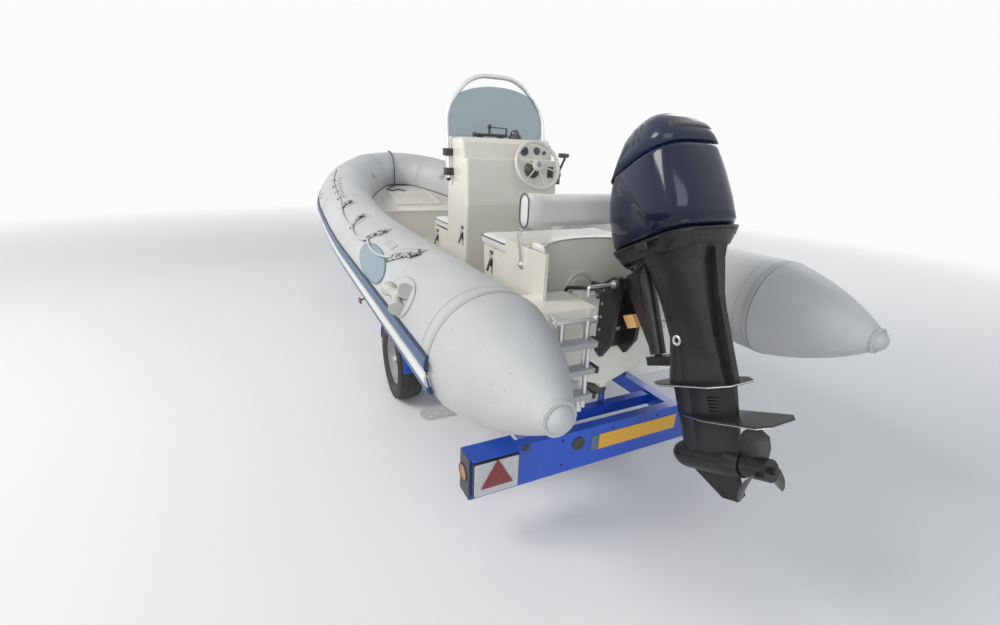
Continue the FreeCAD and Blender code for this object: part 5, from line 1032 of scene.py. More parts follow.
def tube_patch(name, finish_name, centre, half_along, half_round, turn, thick, disc=False, grid=8):
    """A patch laid on the port tube. centre is distance and degrees, the halves are lengths."""
    radius = bpy.context.scene.rib_tube.radius
    bm = bmesh.new()
    spots = bmesh.ops.create_grid(bm, x_segments=grid, y_segments=grid, size=1)["verts"]
    c, s = math.cos(math.radians(turn)), math.sin(math.radians(turn))
    for spot in spots:
        u, v, _ = spot.co
        if disc:
            u, v = u * math.sqrt(1 - v * v / 2), v * math.sqrt(1 - u * u / 2)
        u, v = u * half_along, v * half_round
        spot.co = on_tube(centre[0] + u * c - v * s, centre[1] + math.degrees((u * s + v * c) / radius),
                          thick)
    thicken(new_piece(name, bm, finish_name, mirror=True), thick + 0.0005)


def rounded_route(points, bend):
    """The same route with each corner cut by a bend, for a smooth line."""
    route = [Vector(points[0])]
    for before, corner, after in zip(points, points[1:], points[2:]):
        before, corner, after = Vector(before), Vector(corner), Vector(after)
        into, out = (corner - before), (after - corner)
        half = into.angle(out) / 2
        cut = min(bend * math.tan(half), into.length * 0.48, out.length * 0.48)
        route += [corner - into.normalized() * cut, corner, corner + out.normalized() * cut]
    return route + [Vector(points[-1])]


LACE_START, LACE_PITCH, LACE_TURNS = 2.72, 0.048, 15
WEBBINGS = (
    # outboard end and inboard end, each as distance and degrees
    ((0.86, 47), (0.68, 74)), ((1.41, 45), (1.31, 72)), ((1.87, 44), (1.97, 70)), ((2.48, 52), (2.54, 72)))
LIFELINE = (
    # distance, degrees, lift of the rope's centre
    (0.83, 52, .009), (0.90, 46, .012), (1.05, 42, .016), (1.24, 43, .014), (1.37, 49, .012),
    (1.45, 42, .012), (1.62, 40, .018), (1.78, 43, .014), (1.88, 49, .012), (2.00, 46, .012),
    (2.20, 47, .016), (2.42, 52, .012), (2.56, 57, .012), (2.70, 60, .010), (3.05, 62, .010),
    (3.40, 64, .010), (3.76, 66, .010))
BOW_LINE = ((4.275, .060, 1.678), (4.209, .060, 1.680), (4.088, .060, 1.619), (4.013, .062, 1.503),
            (4.008, .066, 1.369), (3.978, .075, 1.304), (3.905, .150, 1.291), (3.820, .205, 1.277),
            (3.750, .150, 1.265), (3.812, .085, 1.276), (3.760, .010, 1.267))


def mirrored(point):
    return Vector((point[0], -point[1], point[2]))


class RIB_OT_lines(bpy.types.Operator):
    """Lifelines, their webbing, the lacing and the bow line"""
    bl_idname = "rib.lines"
    bl_label = "Lines"

    def execute(self, context):
        radius = context.scene.rib_tube.radius
        rope = [on_tube(*spot) for spot in LIFELINE]
        lace = []
        for step in range(LACE_TURNS):
            spot = LACE_START + LACE_PITCH * step
            lace.append(on_tube(spot, (61 if step % 2 else 75) + 0.7 * step, .008 if step % 2 else .004))
        for side, way in (("port", Vector), ("starboard", mirrored)):
            tube_line(f"{side}_lifeline", [way(point) for point in rope], 0.006, "rope white",
                      stands_for=("lifelines",))
            tube_line(f"{side}_lacing", [way(point) for point in lace], 0.0028, "rope white")
        for number, (low, high) in enumerate(WEBBINGS):
            middle = ((low[0] + high[0]) / 2, (low[1] + high[1]) / 2)
            run, rise = high[0] - low[0], math.radians(high[1] - low[1]) * radius
            turn = math.degrees(math.atan2(rise, run))
            half = math.hypot(run, rise) / 2
            tube_patch(f"webbing_base_{number}", "tube patch", (middle[0] - run * 0.1, middle[1] + 6),
                       half * 0.95, 0.045, turn, 0.0012)
            tube_patch(f"webbing_{number}", "patterned webbing", middle, half, 0.020, turn, 0.0045)
            tube_patch(f"webbing_fold_{number}", "patterned webbing", (high[0] + run * -0.12, high[1] - 3),
                       0.030, 0.026, turn + 60, 0.0075)
        for number, spot in enumerate((2.78, 2.98, 3.16, 3.34)):
            tube_patch(f"lace_tab_{number}", "patterned webbing", (spot, 60 + 6 * number * 0.3), 0.022,
                       0.013, 20, 0.004)
        route = rounded_route([at(*point) for point in BOW_LINE], 0.034)
        line = tube_line("bow_line_rope", route, 0.006, "rope navy", stands_for=("bow_line",))
        return {"FINISHED"}


class RIB_OT_patches(bpy.types.Operator):
    """Oval patch, mooring horn, knobs and small patches on the tubes"""
    bl_idname = "rib.patches"
    bl_label = "Tube patches"

    def execute(self, context):
        tube_patch("oval_rim", "badge rim", (1.07, 31.0), 0.305, 0.082, 3, 0.0012, disc=True, grid=20)
        tube_patch("oval_field", "badge blue", (1.07, 31.0), 0.297, 0.077, 3, 0.0020, disc=True, grid=20)
        tube_patch("repair_patch", "tube patch", (1.035, 63), 0.085, 0.020, 0, 0.0012)
        tube_patch("horn_patch", "tube fabric", (0.46, 29), 0.150, 0.085, 0, 0.0018, disc=True, grid=12)
        # Horn: a moulded hub with three flared arms.
        bm = bmesh.new()
        hub = on_tube(0.46, 28, 0.012)
        out = off_tube(0.46, 28)
        rod(bm, hub - out * 0.014, hub + out * 0.016, 0.038, 0.026)
        for spot, degrees in ((0.568, 27), (0.377, 37.5), (0.377, 19.5)):
            tip = on_tube(spot, degrees, 0.024)
            middle = hub.lerp(tip, 0.55)
            rod(bm, hub - out * 0.002, middle, 0.0175, 0.021)
            rod(bm, middle, tip, 0.021, 0.034)
        new_piece("mooring_horn", bm, "horn grey", mirror=True, bevel=0.003)
        bm = bmesh.new()
        knob = on_tube(3.25, 26)
        out = off_tube(3.25, 26)
        rod(bm, knob, knob + out * 0.012, 0.030, 0.026)
        bmesh.ops.create_uvsphere(bm, u_segments=24, v_segments=14, radius=0.018,
                                  matrix=Matrix.Translation(knob + out * 0.022))
        new_piece("spray_knob", bm, "white plastic", mirror=True)
        # Round pads on the inner side of the forward tubes.
        bm = bmesh.new()
        pad = on_tube(4.10, 150)
        out = off_tube(4.10, 150)
        rod(bm, pad, pad + out * 0.006, 0.040)
        rod(bm, pad, pad + out * 0.020, 0.020, 0.016)
        new_piece("valve_caps", bm, "moulded grey", mirror=True, bevel=0.002)
        return {"FINISHED"}


# Helm and dash


def ball(bm, centre, radius):
    bmesh.ops.create_uvsphere(bm, u_segments=24, v_segments=12, radius=radius,
                              matrix=Matrix.Translation(centre))


def hoop_points(centre, axis, radius, tube, steps):
    """Round section of a ring about an axis, for turned()."""
    centre, axis = Vector(centre), Vector(axis).normalized()
    out = axis.orthogonal().normalized()
    return [centre + out * (radius + tube * math.cos(math.tau * step / steps))
            + axis * (tube * math.sin(math.tau * step / steps)) for step in range(steps + 1)]


def washer(bm, centre, axis, profile, steps=40):
    """A profile of (radius, height) pairs turned about an axis through a centre."""
    centre, axis = Vector(centre), Vector(axis).normalized()
    out = axis.orthogonal().normalized()
    turned(bm, [centre + out * radius + axis * height for radius, height in profile], centre, axis, steps)


ARCH_STEPS, HELM_SPOKES = 24, 6
# Foot of the windscreen hoop, and how far it leans forward over its height.
HOOP_X, HOOP_Z = 1.340, 1.560
HOOP_LEAN, HOOP_RISE = 0.054, 0.435


class RIB_OT_helm(bpy.types.Operator):
    """Steering wheel, dials, compass, bracket rail and throttle"""
    bl_idname = "rib.helm"
    bl_label = "Helm"

    def execute(self, context):
        self.make_wheel()
        self.make_dash()
        self.make_screen()
        self.make_hoop_clamps()
        return {"FINISHED"}

    def make_wheel(self):
        rake = math.radians(22)
        centre = at(1.025, -0.130, 1.665)
        axis = Vector((-math.cos(rake), 0, math.sin(rake)))
        place = Matrix.Translation(centre) @ Matrix.Rotation(rake - math.pi / 2, 4, "Y")
        drawn("helm_rim", "white plastic", turned, hoop_points(centre, axis, 0.152, 0.0125, 14), centre,
              axis, 72, body="helm", stands_for=("helm_wheel",), smooth=60)
        bm = bmesh.new()
        for step in range(HELM_SPOKES):
            turn = place @ Matrix.Rotation(math.radians(360 / HELM_SPOKES * step + 15), 4, "Z")
            slab(bm, [turn @ Vector(spot) for spot in ((0.030, -0.0055, -0.003), (0.143, -0.0035, -0.002),
                                                      (0.143, 0.0035, -0.002), (0.030, 0.0055, -0.003))],
                 axis * 0.005)
        new_piece("helm_spokes", bm, "white plastic", body="helm", bevel=0.001)
        drawn("helm_hub", "white plastic", washer, centre, axis, ((0.0, -0.039), (0.0125, -0.039),
              (0.0125, -0.012), (0.030, -0.010), (0.038, -0.004), (0.040, 0.004), (0.036, 0.013),
              (0.026, 0.018), (0.0, 0.019)), 48, body="helm", smooth=30)
        drawn("helm_badge", "badge blue", washer, centre, axis, ((0.0, 0.0185), (0.018, 0.0185),
              (0.018, 0.0205), (0.0165, 0.0215), (0.0, 0.0215)), body="helm", smooth=30)
        # Bezel ring behind the wheel.
        drawn("helm_bezel", "black plastic", washer, centre, axis, ((0.046, -0.088), (0.052, -0.086),
              (0.054, -0.078), (0.050, -0.070), (0.030, -0.050), (0.020, -0.045), (0.0145, -0.045)), 48,
              smooth=35)

    def make_dash(self):
        up = Vector((0.022, 0, 0.090)).normalized()
        out = Vector((-up.z, 0, up.x))
        foot = at(1.170, 0, 1.700)
        bezels, faces, marks = bmesh.new(), bmesh.new(), bmesh.new()
        dials = ((-0.110, 0.050, 0.031), (-0.205, 0.052, 0.024), (-0.262, 0.040, 0.013))
        for y, rise, radius in dials:
            centre = foot + up * rise + Y * y
            washer(bezels, centre, out, ((radius, -0.002), (radius, 0.006), (radius * 0.93, 0.009),
                                         (radius * 0.84, 0.006), (radius * 0.84, 0.0), (radius, -0.002)))
            washer(faces, centre, out, ((0.0, 0.004), (radius * 0.85, 0.004), (radius * 0.85, 0.002),
                   (0.0, 0.002)))
            if radius < 0.02:
                continue
            for step in range(9):
                turn = math.radians(-120 + 30 * step)
                way = up * math.cos(turn) + Y * math.sin(turn)
                rod(marks, centre + way * radius * 0.62 + out * 0.0045,
                    centre + way * radius * 0.76 + out * 0.0045, 0.0007, segments=6)
            rod(marks, centre + out * 0.005, centre + up * radius * 0.5 - Y * radius * 0.2 + out * 0.005,
                0.0008, segments=6)
        new_piece("dial_bezels", bezels, "black plastic", smooth=30)
        new_piece("dial_faces", faces, "dial face", smooth=30)
        new_piece("dial_marks", marks, "white plastic", smooth=0)
        bm = bmesh.new()
        block(bm, at(1.096, -0.296, 1.585), at(1.112, -0.252, 1.655))
        for step in range(3):
            low = 1.592 + 0.021 * step
            block(bm, at(1.090, -0.288, low), at(1.104, -0.260, low + 0.014))
        new_piece("switch_panel", bm, "black plastic", bevel=0.002)
        # Compass: a black gimbal base under a dark dome.
        compass = at(1.280, -0.090, 1.8203)
        drawn("compass_base", "black plastic", washer, compass, Z, ((0.0, 0.0), (0.044, 0.0),
              (0.044, 0.010), (0.040, 0.022), (0.034, 0.026), (0.0, 0.026)), 40,
              stands_for=("dash_instruments",), smooth=30)
        drawn("compass_dome", "dial face", washer, compass, Z, ((0.033, 0.024), (0.033, 0.034),
              (0.029, 0.046), (0.020, 0.055), (0.010, 0.059), (0.0, 0.060)), 40, smooth=40)
        # Bracket rail: a bar on two feet, with a knob, two uprights and a thin tie.
        bm = bmesh.new()
        for y in (0.165, 0.020):
            block(bm, at(1.262, y - 0.016, 1.8203), at(1.298, y + 0.016, 1.832))
        rod(bm, at(1.280, 0.205, 1.838), at(1.280, -0.030, 1.838), 0.009)
        ball(bm, at(1.280, 0.205, 1.838), 0.015)
        rod(bm, at(1.280, 0.100, 1.838), at(1.280, 0.100, 1.888), 0.009, 0.007)
        ball(bm, at(1.280, 0.100, 1.890), 0.014)
        rod(bm, at(1.280, -0.022, 1.838), at(1.280, -0.022, 1.886), 0.006)
        rod(bm, at(1.280, 0.100, 1.888), at(1.280, -0.022, 1.882), 0.0032)
        new_piece("bracket_rail", bm, "black plastic")
        # Throttle grip: a black knob with a red collar, and a black boss below it.
        drawn("throttle_collar", "signal red", rod, at(1.100, -0.371, 1.730), at(1.100, -0.379, 1.730),
              0.0155, bevel=0.002)
        bm = bmesh.new()
        rod(bm, at(1.190, -0.374, 1.602), at(1.190, -0.404, 1.602), 0.027, 0.022)
        rod(bm, at(1.100, -0.334, 1.730), at(1.100, -0.372, 1.730), 0.0148)
        new_piece("throttle_boss", bm, "black plastic", bevel=0.003)

    def make_screen(self):
        """Smoke panel with an arched top, a little in front of the hoop's middle."""
        low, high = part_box("windscreen")
        half, shoulder = (high.y - low.y) / 2, 1.985
        outline = [Vector((low.x, half, low.z)), Vector((low.x, half, shoulder))]
        for step in range(1, ARCH_STEPS):
            turn = math.pi * step / ARCH_STEPS
            outline.append(Vector((low.x, half * math.cos(turn),
                           shoulder + (high.z - shoulder) * math.sin(turn))))
        outline += [Vector((low.x, -half, shoulder)), Vector((low.x, -half, low.z))]
        drawn("screen_panel", "smoke acrylic", slab, outline, X * (high.x - low.x),
              stands_for=("windscreen",), smooth=20)

    def make_hoop_clamps(self):
        bm = bmesh.new()
        for level in (1.605, 1.725):
            x = HOOP_X + HOOP_LEAN * (level - HOOP_Z) / HOOP_RISE
            block(bm, at(x - 0.027, 0.3302, level - 0.023), at(x + 0.027, 0.383, level + 0.023))
            for rise in (-0.012, 0.012):
                rod(bm, at(x, 0.382, level + rise), at(x, 0.388, level + rise), 0.005, segments=6)
        new_piece("hoop_clamps", bm, "black plastic", mirror=True, bevel=0.004)
        bm = bmesh.new()
        for side in (1, -1):
            ball(bm, at(HOOP_X, side * 0.359, HOOP_Z), 0.0158)
        new_piece("hoop_ends", bm, "black plastic")


# Seats and hatches

# Centre of the motor's recess in the bench, and the radius of its trim.
RECESS_X, RECESS_RADIUS = -0.110, 0.404


def toggle_latch(bm, loops, x, y, z):
    """Over-centre latch on a side panel that faces port: base, lever and catch, with its wire loop."""
    block(bm, at(x - 0.013, y, z - 0.026), at(x + 0.013, y + 0.005, z + 0.020))
    slab(bm, [at(x - 0.010, y + 0.005, z + 0.014), at(x + 0.010, y + 0.005, z + 0.014),
         at(x + 0.012, y + 0.024, z - 0.050), at(x - 0.012, y + 0.024, z - 0.050)],
         Vector((0, 0.005, 0.002)))
    block(bm, at(x - 0.014, y, z + 0.044), at(x + 0.014, y + 0.010, z + 0.060))
    for side in (-0.008, 0.008):
        rod(loops, at(x + side, y + 0.010, z + 0.008), at(x + side, y + 0.012, z + 0.052), 0.0022, segments=8)
    rod(loops, at(x - 0.010, y + 0.012, z + 0.052), at(x + 0.010, y + 0.012, z + 0.052), 0.0022, segments=8)


class RIB_OT_seats(bpy.types.Operator):
    """Latches, hinge pins, aft pads and the trim round the motor recess"""
    bl_idname = "rib.seats"
    bl_label = "Seats"

    def execute(self, context):
        plates, loops = bmesh.new(), bmesh.new()
        for spot in ((1.150, 0.330, 1.215), (0.545, 0.400, 1.180), (1.675, 0.320, 1.110)):
            toggle_latch(plates, loops, *spot)
        new_piece("latches", plates, "black plastic", mirror=True, bevel=0.0015)
        new_piece("latch_loops", loops, "stainless", mirror=True)
        # Arms of the backrest: flat bars that turn under its ends, with their pivot bolts.
        bm = bmesh.new()
        bar = ((0.197, 1.240), (0.199, 1.300), (0.228, 1.372), (0.230, 1.4035), (0.262, 1.4035),
               (0.260, 1.366), (0.230, 1.296), (0.225, 1.240))
        slab(bm, [at(x, 0.4003, z) for x, z in bar], Y * 0.0076)
        rod(bm, at(0.211, 0.4003, 1.240), at(0.211, 0.4080, 1.240), 0.019, segments=32)
        block(bm, at(0.230, 0.340, 1.3950), at(0.262, 0.4079, 1.4035))
        new_piece("backrest_bars", bm, "stainless", body="backrest", mirror=True, bevel=0.0012,
                  stands_for=("backrest_arms",))
        drawn("arm_bolts", "stainless", washer, at(0.211, 0.4078, 1.240), Y, ((0.0, 0.0), (0.0165, 0.0),
              (0.0165, 0.002), (0.010, 0.003), (0.010, 0.008), (0.006, 0.010), (0.0, 0.010)), 24,
              body="backrest", mirror=True, smooth=30)
        # Trim round the recess, from one side of the bench to the other.
        start = math.asin(0.335 / RECESS_RADIUS)
        route = [at(0.150, 0.399, 1.332), at(0.146, 0.365, 1.333)]
        for step in range(17):
            turn = start * (1 - step / 8)
            route.append(at(RECESS_X + RECESS_RADIUS * math.cos(turn), RECESS_RADIUS * math.sin(turn), 1.333))
        route += [at(0.146, -0.365, 1.333), at(0.150, -0.399, 1.332)]
        tube_line("recess_trim", route, 0.0045, "trim grey")
        for side, name in ((1, "port"), (-1, "starboard")):
            self.aft_pad(name, side, context.scene.rib_deck.puff)
        # Screw-in hatch on the front wall of the recess.
        drawn("hatch_ring", "white plastic", washer, at(0.290, 0, 1.075), -X, ((0.089, 0.000),
              (0.089, 0.012), (0.085, 0.016), (0.073, 0.017), (0.071, 0.012), (0.060, 0.010),
              (0.056, 0.013), (0.030, 0.014), (0.0, 0.014)), 56, stands_for=("inspection_hatch",),
              smooth=30)
        drawn("hatch_grip", "white plastic", block, at(0.268, -0.006, 1.033), at(0.278, 0.006, 1.117),
              bevel=0.003)
        return {"FINISHED"}

    def aft_pad(self, name, side, puff):
        """Vinyl pad beside the recess: a wedge with a curved inner edge."""
        outline = [at(0.012, side * 0.394, 1.332), at(0.138, side * 0.394, 1.332)]
        for step in range(9):
            x = 0.138 - 0.126 * step / 8
            y = min(0.392, math.sqrt((RECESS_RADIUS + 0.010) ** 2 - (x - RECESS_X) ** 2))
            outline.append(at(x, side * y, 1.332))
        bm = bmesh.new()
        slab(bm, outline, Z * 0.030)
        bmesh.ops.remove_doubles(bm, verts=bm.verts, dist=0.001)
        rim = [edge for edge in bm.edges if edge.calc_length() and all(v.co.z > 1.34 for v in edge.verts)]
        bmesh.ops.bevel(bm, geom=rim, offset=0.008, segments=3, affect="EDGES", profile=0.5, material=-1)
        piece = new_piece(f"{name}_aft_pad", bm, "seat vinyl", stands_for=("aft_cushion",), smooth=50)
        blow(piece, puff * PAD_PUFF, PAD_CELL)


# Bow deck


DECK_AFT, DECK_AFT_Z, DECK_SLOPE = 3.000, 1.130, 0.1681
GRIP_THICK = 0.0028
# Where the search for the deck's edge starts on the tube, its steps, and the halvings at each.
EDGE_START, EDGE_STEPS, EDGE_HALVINGS = 3.1, 40, 24
LID_AFT, LID_RISE = 3.204, 0.0224


def deck_level(x):
    """Height of the sloping bow deck, x from the transom."""
    return DECK_AFT_Z + DECK_SLOPE * (x - DECK_AFT)


def deck_edge():
    """Where the bow deck meets the port tube, from its aft edge to the middle line."""
    end = bow_span()[1]
    points = []
    for step in range(EDGE_STEPS + 1):
        distance = EDGE_START + (end - EDGE_START) * step / EDGE_STEPS
        low, high = 180.0, 268.0
        for _ in range(EDGE_HALVINGS):
            middle = (low + high) / 2
            spot = on_tube(distance, middle)
            if spot.z > deck_level(spot.x - STERN):
                low = middle
            else:
                high = middle
        spot = on_tube(distance, low, 0.003)
        if spot.x - STERN > DECK_AFT:
            points.append(spot)
    return points


class RIB_OT_deck(bpy.types.Operator):
    """Bow deck piping, grip panels, the locker's catch and the cockpit floor"""
    bl_idname = "rib.deck"
    bl_label = "Deck"

    def execute(self, context):
        edge = deck_edge()
        whole = edge + [mirrored(point) for point in reversed(edge[:-1])]
        tube_line("deck_piping", [point + Z * 0.003 for point in whole], 0.0065, "piping")
        # Grip panels: one each side of the hatch, one ahead of it.
        side = [point for point in edge if point.x < at(3.66, 0, 0).x]
        bm = bmesh.new()
        outline = [Vector((point.x, point.y - 0.055, 0)) for point in side if point.y > 0.34]
        outline.insert(0, at(3.045, outline[0].y, 0))
        outline += [at(outline[-1].x - STERN, 0.265, 0), at(3.045, 0.265, 0)]
        slab(bm, [Vector((spot.x, spot.y, deck_level(spot.x - STERN) - 0.001)) for spot in outline],
             Z * GRIP_THICK)
        new_piece("deck_grip_sides", bm, "deck grip", mirror=True)
        bm = bmesh.new()
        ahead = ((3.735, 0.20), (3.735, -0.20), (3.86, -0.13), (3.86, 0.13))
        slab(bm, [at(x, y, deck_level(x) - 0.001) for x, y in ahead], Z * GRIP_THICK)
        new_piece("deck_grip_fore", bm, "deck grip")
        tube_line("deck_lip", [at(3.006, y, 1.133) for y in (0.50, 0.30, 0.10, -0.10, -0.30, -0.50)], 0.014,
                  "gelcoat")
        # Lid: a grip patch, and a ring catch near its aft edge.
        corner = at(LID_AFT, 0, deck_level(LID_AFT) + LID_RISE)
        slope = Matrix.Translation(corner) @ Matrix.Rotation(-math.atan(DECK_SLOPE), 4, "Y")
        drawn("lid_grip", "deck grip", block, (0.050, -0.190, -0.001), (0.420, 0.190, 0.002), slope,
              body="locker_lid", bevel=0.001)
        bm = bmesh.new()
        centre = slope @ Vector((0.028, 0, 0.0))
        normal = (slope.to_3x3() @ Z).normalized()
        washer(bm, centre, normal, ((0.0, 0.001), (0.019, 0.001), (0.021, 0.002), (0.021, 0.0),
               (0.0, -0.002)), 32)
        turned(bm, hoop_points(centre + normal * 0.004, normal, 0.013, 0.0018, 8), centre, normal, 24)
        new_piece("lid_catch", bm, "stainless", body="locker_lid", smooth=40)
        # Cockpit floor.
        bm = bmesh.new()
        for aft, low, fore, high in ((0.78, -0.46, 2.94, -0.42), (1.84, -0.40, 2.94, 0.40),
                                     (0.78, 0.42, 2.94, 0.46), (0.74, -0.30, 1.08, 0.30)):
            block(bm, at(aft, low, 0.869), at(fore, high, 0.872))
        new_piece("floor_grip", bm, "deck grip")
        return {"FINISHED"}


# Motor leg and brackets


def motor_slab(bm, outline, level, thick, grow):
    """A flat plate across the steering axis. outline lists x and half width, front to back."""
    place = motor_place()
    middle = sum(x for x, _ in outline) / len(outline)
    ring = [(x + math.copysign(grow, x - middle), y + grow) for x, y in outline]
    ring += [(x, -y) for x, y in reversed(ring)]
    slab(bm, [place @ Vector((x, y, level)) for x, y in ring], (place.to_3x3() @ Z) * thick)


class RIB_OT_leg(bpy.types.Operator):
    """Rims of the leg's plates, clamp bolts, steering link and its hose"""
    bl_idname = "rib.leg"
    bl_label = "Motor leg"

    def execute(self, context):
        place = motor_place()
        turn = place.to_3x3()
        drawn("splash_rim", "stainless", motor_slab, ((-0.120, 0.060), (-0.200, 0.105), (-0.440, 0.110),
              (-0.500, 0.060)), -0.446, 0.0028, 0.0015, body="motor", smooth=20)
        drawn("plate_rim", "cast alloy", motor_slab, ((-0.250, 0.050), (-0.380, 0.092), (-0.600, 0.100),
              (-0.630, 0.060)), -0.5765, 0.0028, 0.0012, body="motor", smooth=20)
        # Water outlet: a bright ring round a dark hole, on the aft port side of the leg.
        bm = bmesh.new()
        centre = place @ Vector((-0.300, 0.0735, -0.270))
        facing = turn @ Y
        washer(bm, centre, facing, ((0.011, 0.0), (0.021, 0.0), (0.021, 0.006), (0.017, 0.008),
               (0.011, 0.006), (0.011, 0.0)), 28)
        new_piece("outlet_ring", bm, "stainless", body="motor", smooth=30)
        # Thrust pad between the clamp plates, against the transom.
        bm = bmesh.new()
        block(bm, at(-0.010, -0.0618, 0.945), at(-0.0006, 0.0618, 1.170))
        for z in (0.990, 1.060, 1.130):
            block(bm, at(-0.018, -0.0618, z - 0.009), at(-0.0098, 0.0618, z + 0.009))
        new_piece("thrust_pad", bm, "bracket paint", bevel=0.002)
        # Bolts through the clamp plates, and the nuts of the tilt tube.
        bm = bmesh.new()
        for z in (1.150, 1.085, 1.020, 0.955):
            rod(bm, at(-0.028, 0.0838, z), at(-0.028, 0.091, z), 0.0085, segments=6)
        rod(bm, at(-0.100, 0.0838, 1.200), at(-0.100, 0.101, 1.200), 0.020, segments=6)
        rod(bm, at(-0.100, 0.100, 1.200), at(-0.100, 0.110, 1.200), 0.010)
        new_piece("clamp_bolts", bm, "cast alloy", mirror=True, bevel=0.001)
        # Steering link on the port side, with its sleeve and hose.
        bend = rounded_route([at(-0.100, y, z) for y, z in ((0.104, 1.200), (0.232, 1.199), (0.229, 1.158),
                                                            (0.160, 1.158))], 0.016)
        tube_line("steering_link", bend, 0.0075, "stainless")
        bm = bmesh.new()
        rod(bm, at(-0.100, 0.100, 1.158), at(-0.100, 0.176, 1.158), 0.014)
        rod(bm, at(-0.100, 0.170, 1.158), at(-0.100, 0.182, 1.158), 0.018, segments=6)
        new_piece("steering_sleeve", bm, "black plastic", bevel=0.001)
        hose = rounded_route([at(-0.100, 0.120, 1.158), at(-0.060, 0.104, 1.150), at(0.020, 0.112, 1.150),
                             at(0.080, 0.150, 1.140), at(0.160, 0.160, 1.120), at(0.262, 0.140, 1.020)],
                             0.04)
        tube_line("steering_hose", hose, 0.0085, "black plastic")
        # Hoses that leave the pan for the bracket, on the motor side.
        for number, (y, dip) in enumerate(((0.038, 0.030), (0.060, 0.018))):
            points = [place @ Vector(spot) for spot in ((-0.150, y, 0.076),
                      (-0.120, y + 0.012, 0.076 - dip), (-0.080, y + 0.016, 0.072 - dip),
                      (-0.056, y + 0.006, 0.082))]
            tube_line(f"pan_hose_{number}", points, 0.008, "black plastic", body="motor")
        return {"FINISHED"}


# Ladder


class RIB_OT_ladder(bpy.types.Operator):
    """Telescoping tubes and ribbed treads of the boarding ladder"""
    bl_idname = "rib.ladder"
    bl_label = "Ladder"

    def execute(self, context):
        low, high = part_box("boarding_ladder")
        middle = (low.y + high.y) / 2
        half = (high.y - low.y) / 2
        hinge = STERN - 0.185
        treads, ends, tubes = bmesh.new(), bmesh.new(), bmesh.new()
        for step in range(3):
            top = 0.994 - 0.125 * step
            block(treads, (hinge - 0.043, middle - half + 0.020, top - 0.025),
                  (hinge + 0.019, middle + half - 0.020, top + 0.001))
            for rib in range(6):
                x = hinge - 0.037 + 0.010 * rib
                rod(treads, (x, middle - half + 0.022, top + 0.001),
                    (x, middle + half - 0.022, top + 0.001), 0.0022, segments=6)
            for side in (-1, 1):
                y = middle + side * (half - 0.010)
                block(ends, (hinge - 0.0445, y - 0.011, top - 0.0265),
                      (hinge + 0.0205, y + 0.011, top + 0.0035))
        for side in (-1, 1):
            y = middle + side * 0.065
            rod(tubes, (hinge, y, 0.860), (hinge, y, 1.082), 0.0142)
            rod(tubes, (hinge - 0.027, y, 0.680), (hinge - 0.027, y, 0.985), 0.0095)
        new_piece("ladder_treads", treads, "moulded grey", body="ladder", smooth=30)
        new_piece("ladder_ends", ends, "black plastic", body="ladder", bevel=0.003)
        new_piece("ladder_sleeves", tubes, "stainless", body="ladder")
        return {"FINISHED"}


# Light board


class RIB_OT_lights(bpy.types.Operator):
    """Lamps, triangles, reflectors, blank plate and side markers of the trailer"""
    bl_idname = "rib.lights"
    bl_label = "Trailer lights"

    def execute(self, context):
        drawn("tail_lens", "clear lens", block, at(-0.1415, 0.552, 0.281), at(-0.121, 0.774, 0.453),
              mirror=True, bevel=0.006)
        drawn("triangle", "red lens", slab, [at(-0.1425, y, z) for y, z in ((0.662, 0.460), (0.742, 0.322),
              (0.582, 0.322))], X * -0.006, mirror=True, bevel=0.002)
        # Visor over the lamp, end plate, corner piece.
        drawn("lamp_visor", "trailer blue", slab, [at(x, y, 0.4722) for x, y in ((-0.145, 0.548),
              (-0.145, 0.778), (-0.105, 0.786), (-0.018, 0.786), (-0.018, 0.545))], Z * 0.0035, mirror=True,
              bevel=0.001)
        bm = bmesh.new()
        block(bm, at(-0.117, 0.7865, 0.258), at(-0.012, 0.790, 0.470))
        washer(bm, at(-0.050, 0.7895, 0.365), Y, ((0.037, 0.0), (0.043, 0.0), (0.043, 0.005),
               (0.037, 0.005), (0.037, 0.0)), 36)
        block(bm, at(-0.1185, 0.487, 0.444), at(-0.1132, 0.526, 0.474))
        new_piece("board_ends", bm, "black plastic", mirror=True, smooth=30)
        drawn("side_reflectors", "amber lens", washer, at(-0.050, 0.7895, 0.365), Y, ((0.0, 0.0),
              (0.037, 0.0), (0.037, 0.0045), (0.0, 0.0055)), 36, mirror=True, smooth=30)
        # Blank plate, its end band and the round plug.
        drawn("blank_plate", "plate sheet", block, at(-0.1165, -0.437, 0.335), at(-0.1132, 0.080, 0.421),
              bevel=0.0008)
        drawn("plate_band", "badge rim", block, at(-0.1163, 0.081, 0.335), at(-0.1132, 0.128, 0.421),
              bevel=0.0008)
        bm = bmesh.new()
        washer(bm, at(-0.1132, 0.207, 0.401), -X, ((0.0, 0.0), (0.036, 0.0), (0.036, 0.005), (0.028, 0.009),
               (0.026, 0.006), (0.0, 0.006)), 36)
        for y, z in ((0.300, 0.440), (0.300, 0.300), (0.000, 0.440), (-0.300, 0.440)):
            rod(bm, at(-0.1130, y, z), at(-0.1180, y, z), 0.006, segments=6)
        new_piece("board_plug", bm, "black plastic", smooth=30)
        # Side markers on arms from the rails.
        bm = bmesh.new()
        rod(bm, at(2.600, 0.462, 0.425), at(2.600, 0.770, 0.380), 0.008)
        block(bm, at(2.560, 0.766, 0.350), at(2.640, 0.776, 0.396))
        block(bm, at(2.575, 0.4602, 0.400), at(2.625, 0.466, 0.450))
        new_piece("marker_arms", bm, "black plastic", mirror=True, bevel=0.002)
        drawn("marker_lenses", "amber lens", block, at(2.568, 0.7755, 0.355), at(2.632, 0.786, 0.391),
              mirror=True, bevel=0.004)
        return {"FINISHED"}


# Wheels

